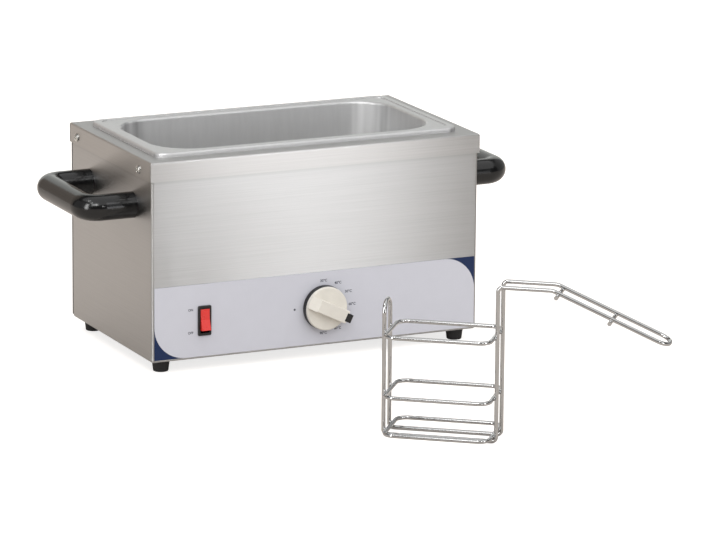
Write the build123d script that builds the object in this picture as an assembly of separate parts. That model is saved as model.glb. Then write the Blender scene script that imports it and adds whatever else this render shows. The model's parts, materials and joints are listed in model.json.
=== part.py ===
from build123d import *
import os
from math import cos, radians, sin

# Sauce carton warmer: a table-top water bath in a folded steel casing, with a loose wire holder beside it.
# Millimetres. X right, Y to the back, Z up, with the origin on the table under the middle of the casing.

# Casing
CAP_W = 354.0
CAP_D = 210.0
CASE_H = 200.0
FOOT_H = 12.0
SHEET = 1.0
CAP_GAP = 0.3
CAP_SKIRT = 19.5
CAP_BEND_R = 2.0
CAP_SEAM = 0.7
BEND_R = 2.5
BASE_FLANGE = 30.0
REAR_FLANGE = 20.0
RETURN_W = 14.0
FLANGE_GAP = 1.0
BASE_INSET = 2.5
BASE_CORNER_R = 5.0
VENT_LENGTH = 44.0
VENT_WIDTH = 4.0
VENT_PITCH = 14.0
VENTS_PER_ROW = 9
VENT_ROW_Y = 30.0

# Bath pan, one-third gastronorm
PAN_W = 325.0
PAN_D = 176.0
PAN_DEPTH = 150.0
PAN_SHEET = 0.8
PAN_RIM_H = 4.5
PAN_RIM_R = 2.2
PAN_CORNER_R = 12.0
PAN_BORDER = 7.0
PAN_STEP = 0.8
PAN_FLANGE = 13.5
PAN_BOWL_R = 42.0
PAN_DRAFT = 2.5
PAN_LIP_R = 2.6
PAN_FLOOR_R = 16.0

# Heating well under the cap
WELL_CLEAR = 4.0
WELL_FLOOR_GAP = 3.0
WELL_FLANGE = 10.0
WELL_FLOOR_R = 8.0
RIVET_R = 1.6
RIVET_HEAD_R = 3.2
RIVET_HEAD_H = 1.2
RIVET_TAIL_R = 2.4
RIVET_TAIL_H = 2.0
RIVET_PITCH = 96.0

# Heating element and its clamps
ELEMENT_D = 8.0
ELEMENT_LENGTH = 236.0
ELEMENT_PITCH = 34.0
ELEMENT_BEND_R = 14.0
ELEMENT_DROP = 14.0
ELEMENT_PIN_D = 4.0
ELEMENT_PIN_L = 8.0
CLAMP_SPACING = 120.0
CLAMP_W = 12.0
CLAMP_T = 1.5
CLAMP_CORNER_R = 2.0
CLAMP_OVERHANG = 14.0
CLAMP_STUD_D = 5.0
CLAMP_STUD_OUT = 8.0

# Control film and front panel
FILM_T = 0.3
FILM_MARGIN = 2.5
FILM_H = 72.5
FILM_CORNER_R = 33.0

# Rocker switch
SWITCH_FROM_SIDE = 55.2
SWITCH_RISE = 38.3
BEZEL_W = 14.0
BEZEL_H = 30.0
BEZEL_T = 2.0
BEZEL_CORNER_R = 1.5
BEZEL_CHAMFER = 0.6
SWITCH_SIDE_LIP = 0.9
SWITCH_END_LIP = 1.5
SWITCH_DEPTH = 20.0
SWITCH_WALL = 1.2
SWITCH_WELL = 12.0
ROCKER_SIDE_GAP = 0.3
ROCKER_END_GAP = 0.5
ROCKER_OUT = 4.6
ROCKER_DISH = 1.6
ROCKER_TILT = 12.0
ROCKER_SHOULDER = 0.5
ROCKER_HEEL = 9.0
ROCKER_HEEL_GAP = 4.0
PIVOT_BACK = 2.5
TRUNNION_R = 1.2
TRUNNION_END_GAP = 0.24

# Thermostat and knob
KNOB_X = 7.4
KNOB_RISE = 39.3
KNOB_SCREW_GAP = 1.3
KNOB_GAP = 0.8
KNOB_BASE_H = 6.0
KNOB_DISC_H = 9.0
KNOB_DRAFT = 0.6
KNOB_EDGE_R = 1.2
KNOB_WALL = 2.4
KNOB_WEB = 2.0
KNOB_HUB_R = 7.0
KNOB_TURN = -26.0
GRIP_W = 13.0
GRIP_H = 7.5
GRIP_RAMP = 11.0
GRIP_EDGE_R = 0.9
POINTER_W = 8.5
POINTER_L = 7.0
POINTER_PAST = 3.7
POINTER_ROOT = 2.0
POINTER_EDGE_R = 0.8
SHAFT_R = 3.0
SHAFT_FLAT = 1.0
SHAFT_OUT = 12.5
SHAFT_IN = 10.0
SHAFT_END_GAP = 1.0
THERMOSTAT_W = 36.0
THERMOSTAT_H = 42.0
THERMOSTAT_D = 18.0
THERMOSTAT_PLATE = 1.5
THERMOSTAT_SCREW_SPAN = 28.0
THERMOSTAT_STEP = 1.0
THERMOSTAT_CORNER_R = 3.0
SHAFT_HOLE_GAP = 2.0
BULB_LENGTH = 90.0
BULB_LEFT = 36.0
BULB_EDGE_R = 1.5
CAPILLARY_D = 2.0
CAPILLARY_DROP = 6.0
CAPILLARY_RISE = 8.0
CAPILLARY_BEND_R = 5.0

# Bow handles
HANDLE_DROP = 51.0
HANDLE_SPAN = 112.0
HANDLE_OUT = 59.6
HANDLE_D = 26.0
HANDLE_BEND_R = 14.5
HANDLE_SCREW_R = 3.0
HANDLE_SCREW_L = 22.0
HANDLE_SCREW_HEAD_R = 5.4
HANDLE_SCREW_HEAD_H = 3.0

# Feet
FOOT_INSET = 16.0
FOOT_TOP_R = 9.0
FOOT_LOW_R = 7.5
FOOT_EDGE_R = 0.8
FOOT_SCREW_R = 2.5
FOOT_RECESS_R = 5.2
FOOT_RECESS = 5.0
FOOT_SCREW_HEAD_R = 4.4
FOOT_SCREW_HEAD_H = 3.5
FOOT_SCREW_END = 7.5

# Screws and nuts: the dome is a share of a head's height, nut sizes are shares of the thread's radius
DOME = 0.55
NUT_FLAT = 1.6
NUT_HEIGHT = 1.6
SCREW_R = 2.0
SCREW_HEAD_R = 4.0
SCREW_HEAD_H = 2.2
SCREW_LENGTH = 8.0
CAP_SCREW_DROP = 12.0
CAP_SCREW_FRONT_IN = 31.0
CAP_SCREW_REAR_IN = 19.0
REAR_SCREW_LOW = 40.0
REAR_SCREW_HIGH = 150.0

# Wiring
GLAND_X = 100.0
GLAND_RISE = 30.0
GLAND_BORE_R = 4.0
GLAND_THREAD_R = 7.8
GLAND_FLAT_R = 9.5
GLAND_HEX_H = 5.0
GLAND_COLLAR = 11.0
GLAND_STUB = 10.0
GLAND_CAP_R = 10.5
GLAND_CAP_END = 6.0
GLAND_DOME_R = 3.6
GLAND_MOUTH_R = 4.6
GLAND_NUT_H = 5.0
BLOCK_FROM_PINS = 28.0
BLOCK_FROM_REAR = 44.0
BLOCK_W = 34.0
BLOCK_D = 20.0
BLOCK_H = 15.0
BLOCK_EDGE_R = 1.5
POLE_PITCH = 10.0
POLE_R = 1.9
POLE_RISE = 6.0
BLOCK_SCREW_HEAD_R = 2.8
EARTH_FROM_BLOCK_X = 26.0
EARTH_FROM_BLOCK_Y = 22.0
EARTH_STUD_R = 2.5
EARTH_STUD_H = 14.0
CUTOUT_X = 35.0
CUTOUT_R = 8.0
CUTOUT_H = 8.0
TAB_W = 6.3
TAB_T = 0.8
TAB_L = 7.0
TAB_SPACING = 8.0
SWITCH_TAB_SPACING = 12.0
LEAD_R = 1.2
LEAD_BEND_R = 6.0
LEAD_FLOOR = 5.0
LEAD_FRONT_RISE = 24.0
LIVE_FROM_EARTH = 20.0

# Wire holder: the room inside its hoops, its wire, and the arm that slopes down to its handle end
ROOM_W = 95.5
ROOM_D = 63.0
WIRE_D = 4.0
WELD_SINK = 0.3
HOOP_CORNER_R = 11.0
HOOP_LOWER_Z = 42.5
HOOP_UPPER_Z = 100.0
ROD_SPAN = 25.0
CARRIER_BEND_R = 4.5
CARRIER_TIP_FLAT = 3.0
CARRIER_LEFT_TOP = 128.0
CARRIER_TOP = 149.0
ARM_FLAT = 51.0
ARM_RUN = 107.5
ARM_DROP = 45.5
ARM_KINK_R = 14.0
BRACE_INNER_AT = 4.0
BRACE_OUTER_AT = 54.0
BRACE_OVERHANG = 3.0
HOLDER_X = -12.5
HOLDER_Y = -413.0
HOLDER_YAW = -38.0

# Clearances
RUN_FIT = 0.05
SCREW_FIT = 0.2
PANEL_FIT = 0.3
FILLET_EASE = 0.05

# How far a cut runs past a face, and how near an edge lies to a height to count as level with it
PAST = 1.0
LEVEL = 0.01

# Levels and faces worked out from the sizes above
CASE_W = CAP_W - 2 * (SHEET + CAP_GAP)
CASE_D = CAP_D - 2 * (SHEET + CAP_GAP)
FRONT = -CASE_D / 2
REAR = CASE_D / 2
SIDE = CASE_W / 2
CASE_Z = FOOT_H
TOP_Z = FOOT_H + CASE_H
UNDERCAP_Z = TOP_Z - SHEET
CAP_INNER_R = CAP_BEND_R - SHEET
WALL_TOP_Z = UNDERCAP_Z - CAP_INNER_R + (CAP_INNER_R ** 2 - max(CAP_INNER_R - CAP_GAP, 0) ** 2) ** 0.5
SWITCH_X = SWITCH_FROM_SIDE - SIDE
SWITCH_Z = CASE_Z + SWITCH_RISE
KNOB_Z = CASE_Z + KNOB_RISE
GLAND_Z = CASE_Z + GLAND_RISE
BASE_Z = CASE_Z + SHEET
BASE_TOP_Z = BASE_Z + SHEET
FACE = FRONT - 2 * FILM_T
PANEL_BACK = 2 * FILM_T + SHEET
PAN_RIM_Z = TOP_Z + PAN_RIM_H
PAN_SHELF_Z = PAN_RIM_Z - PAN_STEP
PAN_FLOOR_Z = PAN_RIM_Z - PAN_DEPTH
BOWL_W = PAN_W - 2 * PAN_FLANGE
BOWL_D = PAN_D - 2 * PAN_FLANGE
WELL_W = BOWL_W + 2 * WELL_CLEAR
WELL_D = BOWL_D + 2 * WELL_CLEAR
WELL_R = PAN_BOWL_R + WELL_CLEAR
WELL_FLOOR_Z = PAN_FLOOR_Z - WELL_FLOOR_GAP
WELL_UNDER_Z = WELL_FLOOR_Z - SHEET
ELEMENT_Z = WELL_UNDER_Z - ELEMENT_D / 2
CLAMP_TOP_Z = WELL_UNDER_Z - ELEMENT_D
KNOB_R = THERMOSTAT_SCREW_SPAN / 2 + SCREW_HEAD_R + KNOB_SCREW_GAP + KNOB_WALL + KNOB_DRAFT
KNOB_H = KNOB_DISC_H + GRIP_H
THERMOSTAT_BACK = FACE + PANEL_BACK + THERMOSTAT_D
TAB_DROP = THERMOSTAT_H / 4
SWITCH_W = BEZEL_W - 2 * SWITCH_SIDE_LIP
SWITCH_H = BEZEL_H - 2 * SWITCH_END_LIP
SWITCH_BACK = FACE + SWITCH_DEPTH
BLOCK_X = ELEMENT_LENGTH / 2 - BLOCK_FROM_PINS
BLOCK_Y = REAR - BLOCK_FROM_REAR
EARTH_X = BLOCK_X - EARTH_FROM_BLOCK_X
EARTH_Y = BLOCK_Y - EARTH_FROM_BLOCK_Y
LIVE_LEAD_Y = EARTH_Y - LIVE_FROM_EARTH
HOLE = 2 * (CAP_W + CAP_D)

# Front-panel coordinates: x to the right, y up, z out of the panel from the film's face
PANEL = Plane(origin=(0, FACE, 0), x_dir=(1, 0, 0), z_dir=(0, -1, 0))
LOW = (Align.CENTER, Align.CENTER, Align.MIN)
HIGH = (Align.CENTER, Align.CENTER, Align.MAX)


def slab(width, depth, radius, z_low, z_high, x=0.0, y=0.0):
    """Upright prism over a rectangle with rounded corners."""
    return extrude(Pos(x, y, z_low) * RectangleRounded(width, depth, radius), z_high - z_low)


def brick(low, high):
    """Box between two opposite corners."""
    size = Vector(high) - Vector(low)
    return Pos((Vector(high) + Vector(low)) / 2) * Box(size.X, size.Y, size.Z)


def rod(radius, start, end):
    """Round bar from one point to another."""
    run = Vector(end) - Vector(start)
    return Plane(origin=start, z_dir=run) * Cylinder(radius, run.length, align=LOW)


def hex_prism(flat_r, height):
    """Hexagon bar with two flats facing along x."""
    return extrude(RegularPolygon(flat_r, 6, major_radius=False, rotation=30), height)


def hex_nut(thread_r, seat, direction):
    """Hexagon nut that stands on its seat, with a plain bore."""
    height = NUT_HEIGHT * thread_r
    blank = hex_prism(NUT_FLAT * thread_r, height) - Cylinder(thread_r + RUN_FIT, height, align=LOW)
    return Plane(origin=seat, z_dir=direction) * blank


def screw(seat, outward, shank_r, head_r, head_h, length):
    """Screw with a domed head on the seat and a plain shank running in."""
    head = Cylinder(head_r, head_h, align=LOW)
    head = fillet(head.edges().sort_by(Axis.Z)[-1], head_h * DOME)
    return Plane(origin=seat, z_dir=outward) * (head + Cylinder(shank_r, length, align=HIGH))


def bent_rod(points, radii, radius):
    """Round wire along straight runs joined by tangent arcs."""
    path = FilletPolyline(*points, radius=radii)
    return sweep(Plane(origin=path @ 0, z_dir=path % 0) * Circle(radius), path=path)


def group(pieces):
    """Several loose solids under one name."""
    return Compound([solid for piece in pieces for solid in piece.solids()])


def edges_at(part, z, half_w=HOLE, half_d=HOLE):
    """Edges that lie flat at a height, within a half width and half depth."""
    boxes = [(e, e.bounding_box()) for e in part.edges()]
    flat = [e for e, box in boxes if box.max.Z - z < LEVEL > z - box.min.Z]
    return [e for e in flat if abs(e.center().X) < half_w and abs(e.center().Y) < half_d]


def foot_places():
    """Foot centres, from front left round to rear left."""
    x, y = SIDE - FOOT_INSET, REAR - FOOT_INSET
    return {"front_left": (-x, -y), "front_right": (x, -y), "rear_right": (x, y), "rear_left": (-x, y)}


def cap_screw_places():
    """Seats of the screws on the cap's side skirts, with their outward directions."""
    z = TOP_Z - CAP_SCREW_DROP
    rows = CAP_SCREW_FRONT_IN - CAP_D / 2, CAP_D / 2 - CAP_SCREW_REAR_IN
    return [((side * CAP_W / 2, y, z), (side, 0, 0)) for side in (-1, 1) for y in rows]


def rear_screw_places():
    """Seats of the screws that hold the rear panel to the casing's returns."""
    x = SIDE - RETURN_W / 2
    return [(side * x, REAR, CASE_Z + z) for side in (-1, 1) for z in (REAR_SCREW_LOW, REAR_SCREW_HIGH)]


def handle_legs():
    """Places along Y, with the height, where the handle legs meet the side walls."""
    return [(side * HANDLE_SPAN / 2, TOP_Z - HANDLE_DROP) for side in (-1, 1)]


def rivet_places():
    """Rivets along the front and back of the well's flange, under the pan's rim."""
    y = (WELL_D + PAN_D - 2 * PAN_SHEET) / 4
    return [(RIVET_PITCH * i, side * y) for i in (-1, 0, 1) for side in (-1, 1)]


def casing_wrap():
    """Front and sides in one bent sheet, with flanges under the base and returns behind."""
    depth = CASE_D - SHEET
    y = -SHEET / 2
    outer = slab(CASE_W, depth, BEND_R, CASE_Z, WALL_TOP_Z, y=y)
    outer = fillet(outer.faces().sort_by(Axis.Z)[0].edges(), BEND_R - FILLET_EASE)
    inner = slab(CASE_W - 2 * SHEET, depth - 2 * SHEET, BEND_R - SHEET, BASE_Z, WALL_TOP_Z, y=y)
    inner = fillet(inner.faces().sort_by(Axis.Z)[0].edges(), BEND_R - SHEET - FILLET_EASE)
    part = outer - inner
    opening = SIDE - BASE_FLANGE
    part -= brick((-opening, FRONT + BASE_FLANGE, CASE_Z), (opening, REAR, BASE_Z))
    gate = SIDE - RETURN_W
    part -= brick((-gate, REAR - 2 * SHEET - BEND_R, CASE_Z), (gate, REAR, UNDERCAP_Z))
    part -= brick((-SIDE, REAR - SHEET - BEND_R, CASE_Z), (SIDE, REAR, CASE_Z + BEND_R))
    for side in (-1, 1):
        near, far = side * (SIDE - BEND_R), side * opening
        slit = FRONT + BASE_FLANGE
        part -= brick((min(near, far), slit, CASE_Z), (max(near, far), slit + FLANGE_GAP, BASE_Z))
    for x, y_foot in foot_places().values():
        part -= rod(FOOT_SCREW_R + SCREW_FIT, (x, y_foot, CASE_Z - PAST), (x, y_foot, BASE_Z + PAST))
    for seat, outward in cap_screw_places():
        part -= rod(SCREW_R + SCREW_FIT, seat, Vector(seat) - Vector(outward) * SCREW_LENGTH)
    for y_leg, z_leg in handle_legs():
        part -= rod(HANDLE_SCREW_R + SCREW_FIT, (-CASE_W, y_leg, z_leg), (CASE_W, y_leg, z_leg))
    for x, y_seat, z in rear_screw_places():
        part -= rod(SCREW_R + SCREW_FIT, (x, y_seat, z), (x, y_seat - SCREW_LENGTH, z))
    part -= PANEL * front_holes(PANEL_BACK * 2)
    return part


def front_holes(depth):
    """Cut-outs of the switch, the thermostat's shaft and its screws, through the front."""
    switch = Pos(SWITCH_X, SWITCH_Z, 0) * Box(SWITCH_W + 2 * PANEL_FIT, SWITCH_H + 2 * PANEL_FIT, 2 * depth)
    shaft = Pos(KNOB_X, KNOB_Z, 0) * Cylinder(SHAFT_R + SHAFT_HOLE_GAP, 2 * depth)
    holes = switch + shaft
    for side in (-1, 1):
        x = KNOB_X + side * THERMOSTAT_SCREW_SPAN / 2
        holes += Pos(x, KNOB_Z, 0) * Cylinder(SCREW_R + SCREW_FIT, 2 * depth)
    return holes


def rear_panel():
    """Flat back sheet with a foot flange, the cable entry and screw holes."""
    part = brick((-SIDE, REAR - SHEET, CASE_Z + BEND_R), (SIDE, REAR, WALL_TOP_Z))
    half = SIDE - BASE_FLANGE - FLANGE_GAP
    part += brick((-half, REAR - REAR_FLANGE, CASE_Z), (half, REAR - BEND_R, BASE_Z))
    bend = brick((-half, REAR - BEND_R, CASE_Z), (half, REAR, CASE_Z + BEND_R))
    centre = (0, REAR - BEND_R, CASE_Z + BEND_R)
    ring = Cylinder(BEND_R, 2 * half) - Cylinder(BEND_R - SHEET, 2 * half)
    part += bend & (Plane(origin=centre, z_dir=(1, 0, 0)) * ring)
    for x, y, z in rear_screw_places():
        part -= rod(SCREW_R + SCREW_FIT, (x, y - 2 * SHEET, z), (x, y + SHEET, z))
    hole = GLAND_THREAD_R + SCREW_FIT
    return part - rod(hole, (GLAND_X, REAR - 2 * SHEET, GLAND_Z), (GLAND_X, REAR + SHEET, GLAND_Z))


def base_plate():
    """Floor sheet on the casing's flanges, with vent slots and screw holes."""
    width = CASE_W - 2 * (SHEET + BASE_INSET)
    depth = CASE_D - 3 * SHEET - 2 * BASE_INSET
    part = slab(width, depth, BASE_CORNER_R, BASE_Z, BASE_TOP_Z, y=-SHEET / 2)
    for x, y in foot_places().values():
        part -= rod(FOOT_SCREW_R + SCREW_FIT, (x, y, BASE_Z - PAST), (x, y, BASE_TOP_Z + PAST))
    for x, y in block_screw_places():
        part -= rod(SCREW_R + SCREW_FIT, (x, y, BASE_Z - PAST), (x, y, BASE_TOP_Z + PAST))
    first = -VENT_PITCH * (VENTS_PER_ROW - 1) / 2
    for i in range(VENTS_PER_ROW):
        for side in (-1, 1):
            place = Pos(first + VENT_PITCH * i, side * VENT_ROW_Y, BASE_Z) * Rot(0, 0, 90)
            part -= extrude(place * SlotOverall(VENT_LENGTH, VENT_WIDTH), SHEET)
    return part


def top_cap():
    """Folded cover with a skirt on every side, open corner seams and the well's mouth."""
    low = TOP_Z - CAP_SKIRT
    outer = brick((-CAP_W / 2, -CAP_D / 2, low), (CAP_W / 2, CAP_D / 2, TOP_Z))
    outer = fillet(outer.faces().sort_by(Axis.Z)[-1].edges(), CAP_BEND_R)
    half_w, half_d = CAP_W / 2 - SHEET, CAP_D / 2 - SHEET
    inner = brick((-half_w, -half_d, low), (half_w, half_d, UNDERCAP_Z))
    inner = fillet(inner.faces().sort_by(Axis.Z)[-1].edges(), CAP_INNER_R)
    part = outer - inner - slab(WELL_W, WELL_D, WELL_R, UNDERCAP_Z - PAST, TOP_Z + PAST)
    for side_x in (-1, 1):
        for side_y in (-1, 1):
            seam = Pos(side_x * (half_w + SHEET), side_y * (half_d - CAP_SEAM / 2), low)
            part -= seam * Box(2 * SHEET, CAP_SEAM, CAP_SKIRT - CAP_BEND_R, align=LOW)
    for seat, outward in cap_screw_places():
        part -= rod(SCREW_R + SCREW_FIT, seat, Vector(seat) - Vector(outward) * SCREW_LENGTH)
    for x, y in rivet_places():
        part -= rod(RIVET_R + RUN_FIT, (x, y, UNDERCAP_Z - PAST), (x, y, TOP_Z + PAST))
    return part


def bath_pan():
    """Pan with a turned-down rim, a lid shelf one step lower and drafted walls."""
    t = PAN_SHEET
    rim = slab(PAN_W, PAN_D, PAN_CORNER_R, TOP_Z, PAN_RIM_Z)
    rim = fillet(rim.faces().sort_by(Axis.Z)[-1].edges(), PAN_RIM_R)
    hollow = slab(PAN_W - 2 * t, PAN_D - 2 * t, PAN_CORNER_R - t, TOP_Z, PAN_RIM_Z - t)
    hollow = fillet(hollow.faces().sort_by(Axis.Z)[-1].edges(), PAN_RIM_R - t)
    shelf_w, shelf_d = PAN_W - 2 * PAN_BORDER, PAN_D - 2 * PAN_BORDER
    shelf = slab(shelf_w + 2 * t, shelf_d + 2 * t, PAN_CORNER_R, PAN_SHELF_Z - t, PAN_RIM_Z - t / 2)
    part = rim - hollow + shelf - slab(shelf_w, shelf_d, PAN_CORNER_R - t, PAN_SHELF_Z, PAN_RIM_Z + PAST)
    depth = PAN_SHELF_Z - PAN_FLOOR_Z
    part += bowl(BOWL_W, BOWL_D, PAN_BOWL_R, depth, PAN_FLOOR_R)
    part -= bowl(BOWL_W - 2 * t, BOWL_D - 2 * t, PAN_BOWL_R - t, depth - t, PAN_FLOOR_R - t)
    near = (BOWL_W / 2 + PAST, BOWL_D / 2 + PAST)
    part = fillet(edges_at(part, PAN_SHELF_Z - t, *near), PAN_LIP_R - t)
    return fillet(edges_at(part, PAN_SHELF_Z, *near), PAN_LIP_R)


def bowl(width, depth, corner, height, floor_r):
    """Drafted bowl shape that hangs from the pan's shelf, with a rounded floor edge."""
    block = extrude(RectangleRounded(width, depth, corner), height, taper=PAN_DRAFT)
    block = fillet(block.faces().sort_by(Axis.Z)[-1].edges(), floor_r)
    return Pos(0, 0, PAN_SHELF_Z) * Rot(180, 0, 0) * block


def heating_well():
    """Open box that the pan hangs in, flanged under the cap."""
    outer = slab(WELL_W + 2 * SHEET, WELL_D + 2 * SHEET, WELL_R + SHEET, WELL_UNDER_Z, UNDERCAP_Z)
    outer = fillet(outer.faces().sort_by(Axis.Z)[0].edges(), WELL_FLOOR_R)
    inner = slab(WELL_W, WELL_D, WELL_R, WELL_FLOOR_Z, UNDERCAP_Z)
    inner = fillet(inner.faces().sort_by(Axis.Z)[0].edges(), WELL_FLOOR_R - SHEET)
    grow = 2 * WELL_FLANGE
    flange = slab(WELL_W + grow, WELL_D + grow, WELL_R + WELL_FLANGE, UNDERCAP_Z - SHEET, UNDERCAP_Z)
    part = outer + flange - inner
    for x, y in rivet_places():
        part -= rod(RIVET_R + RUN_FIT, (x, y, UNDERCAP_Z - 2 * SHEET), (x, y, UNDERCAP_Z + PAST))
    return part


def well_rivets():
    """Blind rivets that hold the well's flange to the cap."""
    pieces = []
    for x, y in rivet_places():
        head = Cylinder(RIVET_HEAD_R, RIVET_HEAD_H, align=LOW)
        head = fillet(head.edges().sort_by(Axis.Z)[-1], RIVET_HEAD_H * DOME)
        shank = Cylinder(RIVET_R, 2 * SHEET, align=HIGH)
        tail = Pos(0, 0, -2 * SHEET) * Cylinder(RIVET_TAIL_R, RIVET_TAIL_H, align=HIGH)
        pieces.append(Pos(x, y, TOP_Z) * (head + shank + tail))
    return group(pieces)


def element_ends():
    """Where the two ends of the heating element turn down."""
    return (ELEMENT_LENGTH / 2, -1.5 * ELEMENT_PITCH), (ELEMENT_LENGTH / 2, 1.5 * ELEMENT_PITCH)


def heating_element():
    """Tubular element in four runs under the well, with both ends turned down to their pins."""
    left, right = -ELEMENT_LENGTH / 2, ELEMENT_LENGTH / 2
    inner_right = right - ELEMENT_PITCH
    rows = [ELEMENT_PITCH * (i - 1.5) for i in range(4)]
    low = ELEMENT_Z - ELEMENT_DROP
    route = [(right, rows[0], low), (right, rows[0], ELEMENT_Z), (left, rows[0], ELEMENT_Z)]
    route += [(left, rows[1], ELEMENT_Z), (inner_right, rows[1], ELEMENT_Z)]
    route += [(inner_right, rows[2], ELEMENT_Z), (left, rows[2], ELEMENT_Z)]
    route += [(left, rows[3], ELEMENT_Z), (right, rows[3], ELEMENT_Z), (right, rows[3], low)]
    turns = [ELEMENT_D] + [ELEMENT_BEND_R] * 6 + [ELEMENT_D]
    part = bent_rod(route, turns, ELEMENT_D / 2)
    for x, y in element_ends():
        part += rod(ELEMENT_PIN_D / 2, (x, y, low), (x, y, low - ELEMENT_PIN_L))
    return part


def clamp_stud_places():
    """Studs on both clamp bars, between the element's outer and inner runs."""
    return [(side * CLAMP_SPACING / 2, row * ELEMENT_PITCH) for side in (-1, 1) for row in (-1, 1)]


def element_clamps():
    """Two flat bars that press the element and the sensor against the well."""
    half = 1.5 * ELEMENT_PITCH + CLAMP_OVERHANG
    bars = []
    for side in (-1, 1):
        centre = side * CLAMP_SPACING / 2
        bar = slab(CLAMP_W, 2 * half, CLAMP_CORNER_R, CLAMP_TOP_Z - CLAMP_T, CLAMP_TOP_Z, x=centre)
        for x, y in clamp_stud_places():
            low, high = CLAMP_TOP_Z - CLAMP_T - PAST, CLAMP_TOP_Z + PAST
            bar -= rod(CLAMP_STUD_D / 2 + SCREW_FIT, (x, y, low), (x, y, high))
        bars.append(bar)
    return group(bars)


def clamp_studs():
    """Studs welded under the well's floor."""
    low = CLAMP_TOP_Z - CLAMP_T - CLAMP_STUD_OUT
    return group([rod(CLAMP_STUD_D / 2, (x, y, WELL_UNDER_Z), (x, y, low)) for x, y in clamp_stud_places()])


def clamp_nuts():
    """Nuts under the clamp bars."""
    z = CLAMP_TOP_Z - CLAMP_T
    return group([hex_nut(CLAMP_STUD_D / 2, (x, y, z), (0, 0, -1)) for x, y in clamp_stud_places()])


def film_sketch(rounded):
    """Outline of the control film, with two opposite corners rounded on the grey one."""
    height = CASE_Z + FILM_MARGIN + FILM_H / 2
    outline = Rectangle(CASE_W - 2 * FILM_MARGIN, FILM_H)
    if rounded:
        corners = outline.vertices().sort_by(lambda v: v.X + v.Y)
        outline = fillet([corners[0], corners[-1]], FILM_CORNER_R)
    return Pos(0, height) * outline


def film(rounded, level):
    """One layer of the control film, with the panel's cut-outs and room for the thermostat's screw heads."""
    part = extrude(Pos(0, 0, level) * film_sketch(rounded), FILM_T)
    part -= front_holes(PANEL_BACK)
    for side in (-1, 1):
        x = KNOB_X + side * THERMOSTAT_SCREW_SPAN / 2
        part -= Pos(x, KNOB_Z, 0) * Cylinder(SCREW_HEAD_R + SCREW_FIT, 2 * PANEL_BACK)
    return PANEL * part


def switch_housing():
    """Snap-in switch body with a bezel, the rocker's well, pivot holes and two tabs."""
    bezel = extrude(RectangleRounded(BEZEL_W, BEZEL_H, BEZEL_CORNER_R), BEZEL_T)
    bezel = chamfer(bezel.faces().sort_by(Axis.Z)[-1].edges(), BEZEL_CHAMFER)
    body = Box(SWITCH_W, SWITCH_H, SWITCH_DEPTH, align=HIGH)
    mouth = SWITCH_W - 2 * SWITCH_WALL, SWITCH_H - 2 * SWITCH_WALL
    part = bezel + body - Pos(0, 0, -SWITCH_WELL) * Box(*mouth, SWITCH_WELL + 2 * BEZEL_T, align=LOW)
    part -= Pos(0, 0, -PIVOT_BACK) * Rot(0, 90, 0) * Cylinder(TRUNNION_R + RUN_FIT, SWITCH_W)
    for side in (-1, 1):
        tab = Box(TAB_T, TAB_W, TAB_L, align=HIGH)
        part += Pos(0, side * SWITCH_TAB_SPACING / 2, -SWITCH_DEPTH) * tab
    return PANEL * Pos(SWITCH_X, SWITCH_Z, 0) * part


def switch_rocker():
    """Dished rocker on two trunnions, standing with its upper end pressed in."""
    width = SWITCH_W - 2 * SWITCH_WALL - 2 * ROCKER_SIDE_GAP
    reach = ROCKER_OUT + PIVOT_BACK
    mouth = SWITCH_H / 2 - SWITCH_WALL - ROCKER_END_GAP
    half = (mouth - reach * sin(radians(ROCKER_TILT))) / cos(radians(ROCKER_TILT))
    shoulder, heel = half - ROCKER_SHOULDER, ROCKER_HEEL / 2
    deep = SWITCH_WELL - PIVOT_BACK - ROCKER_HEEL_GAP
    outline = Polygon(
        (-half, reach), (-shoulder, 0), (-heel, -deep), (heel, -deep), (shoulder, 0), (half, reach),
        (0, reach - ROCKER_DISH), align=None,
    )
    block = extrude(Plane.YZ * outline, width / 2, both=True)
    pin = Rot(0, 90, 0) * Cylinder(TRUNNION_R, SWITCH_W - 2 * TRUNNION_END_GAP)
    tilted = Rot(-ROCKER_TILT, 0, 0) * (block + pin)
    return PANEL * Pos(SWITCH_X, SWITCH_Z, -PIVOT_BACK) * tilted


def knob_disc(low, high):
    """Slice of the knob's drafted disc between two heights."""
    disc = Cone(KNOB_R, KNOB_R - KNOB_DRAFT, KNOB_DISC_H, align=LOW)
    disc = fillet(disc.edges().sort_by(Axis.Z)[-1], KNOB_EDGE_R)
    return disc & Pos(0, 0, low) * Cylinder(2 * KNOB_R, high - low, align=LOW)


def knob_bore():
    """Bore for the shaft, flat on one side."""
    bore = Cylinder(SHAFT_R + RUN_FIT, SHAFT_OUT - KNOB_GAP + RUN_FIT, align=LOW)
    flat = Box(4 * SHAFT_R, 2 * SHAFT_R, SHAFT_OUT, align=(Align.CENTER, Align.MIN, Align.MIN))
    return bore - Pos(0, SHAFT_R - SHAFT_FLAT + RUN_FIT, 0) * flat


def knob_pointer(gap):
    """Bar of the pointer, standing up from the base past the rim, with a gap all round for its notch."""
    length, width = POINTER_L + 2 * gap, POINTER_W + 2 * gap
    bar = Box(length, width, KNOB_H - KNOB_BASE_H + POINTER_ROOT, align=LOW)
    middle = KNOB_R + POINTER_PAST - POINTER_L / 2
    return Pos(middle, 0, KNOB_BASE_H - POINTER_ROOT) * bar


def knob_place():
    """Knob axis on the panel, turned to its mark."""
    return PANEL * Pos(KNOB_X, KNOB_Z, KNOB_GAP) * Rot(0, 0, KNOB_TURN)


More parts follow.
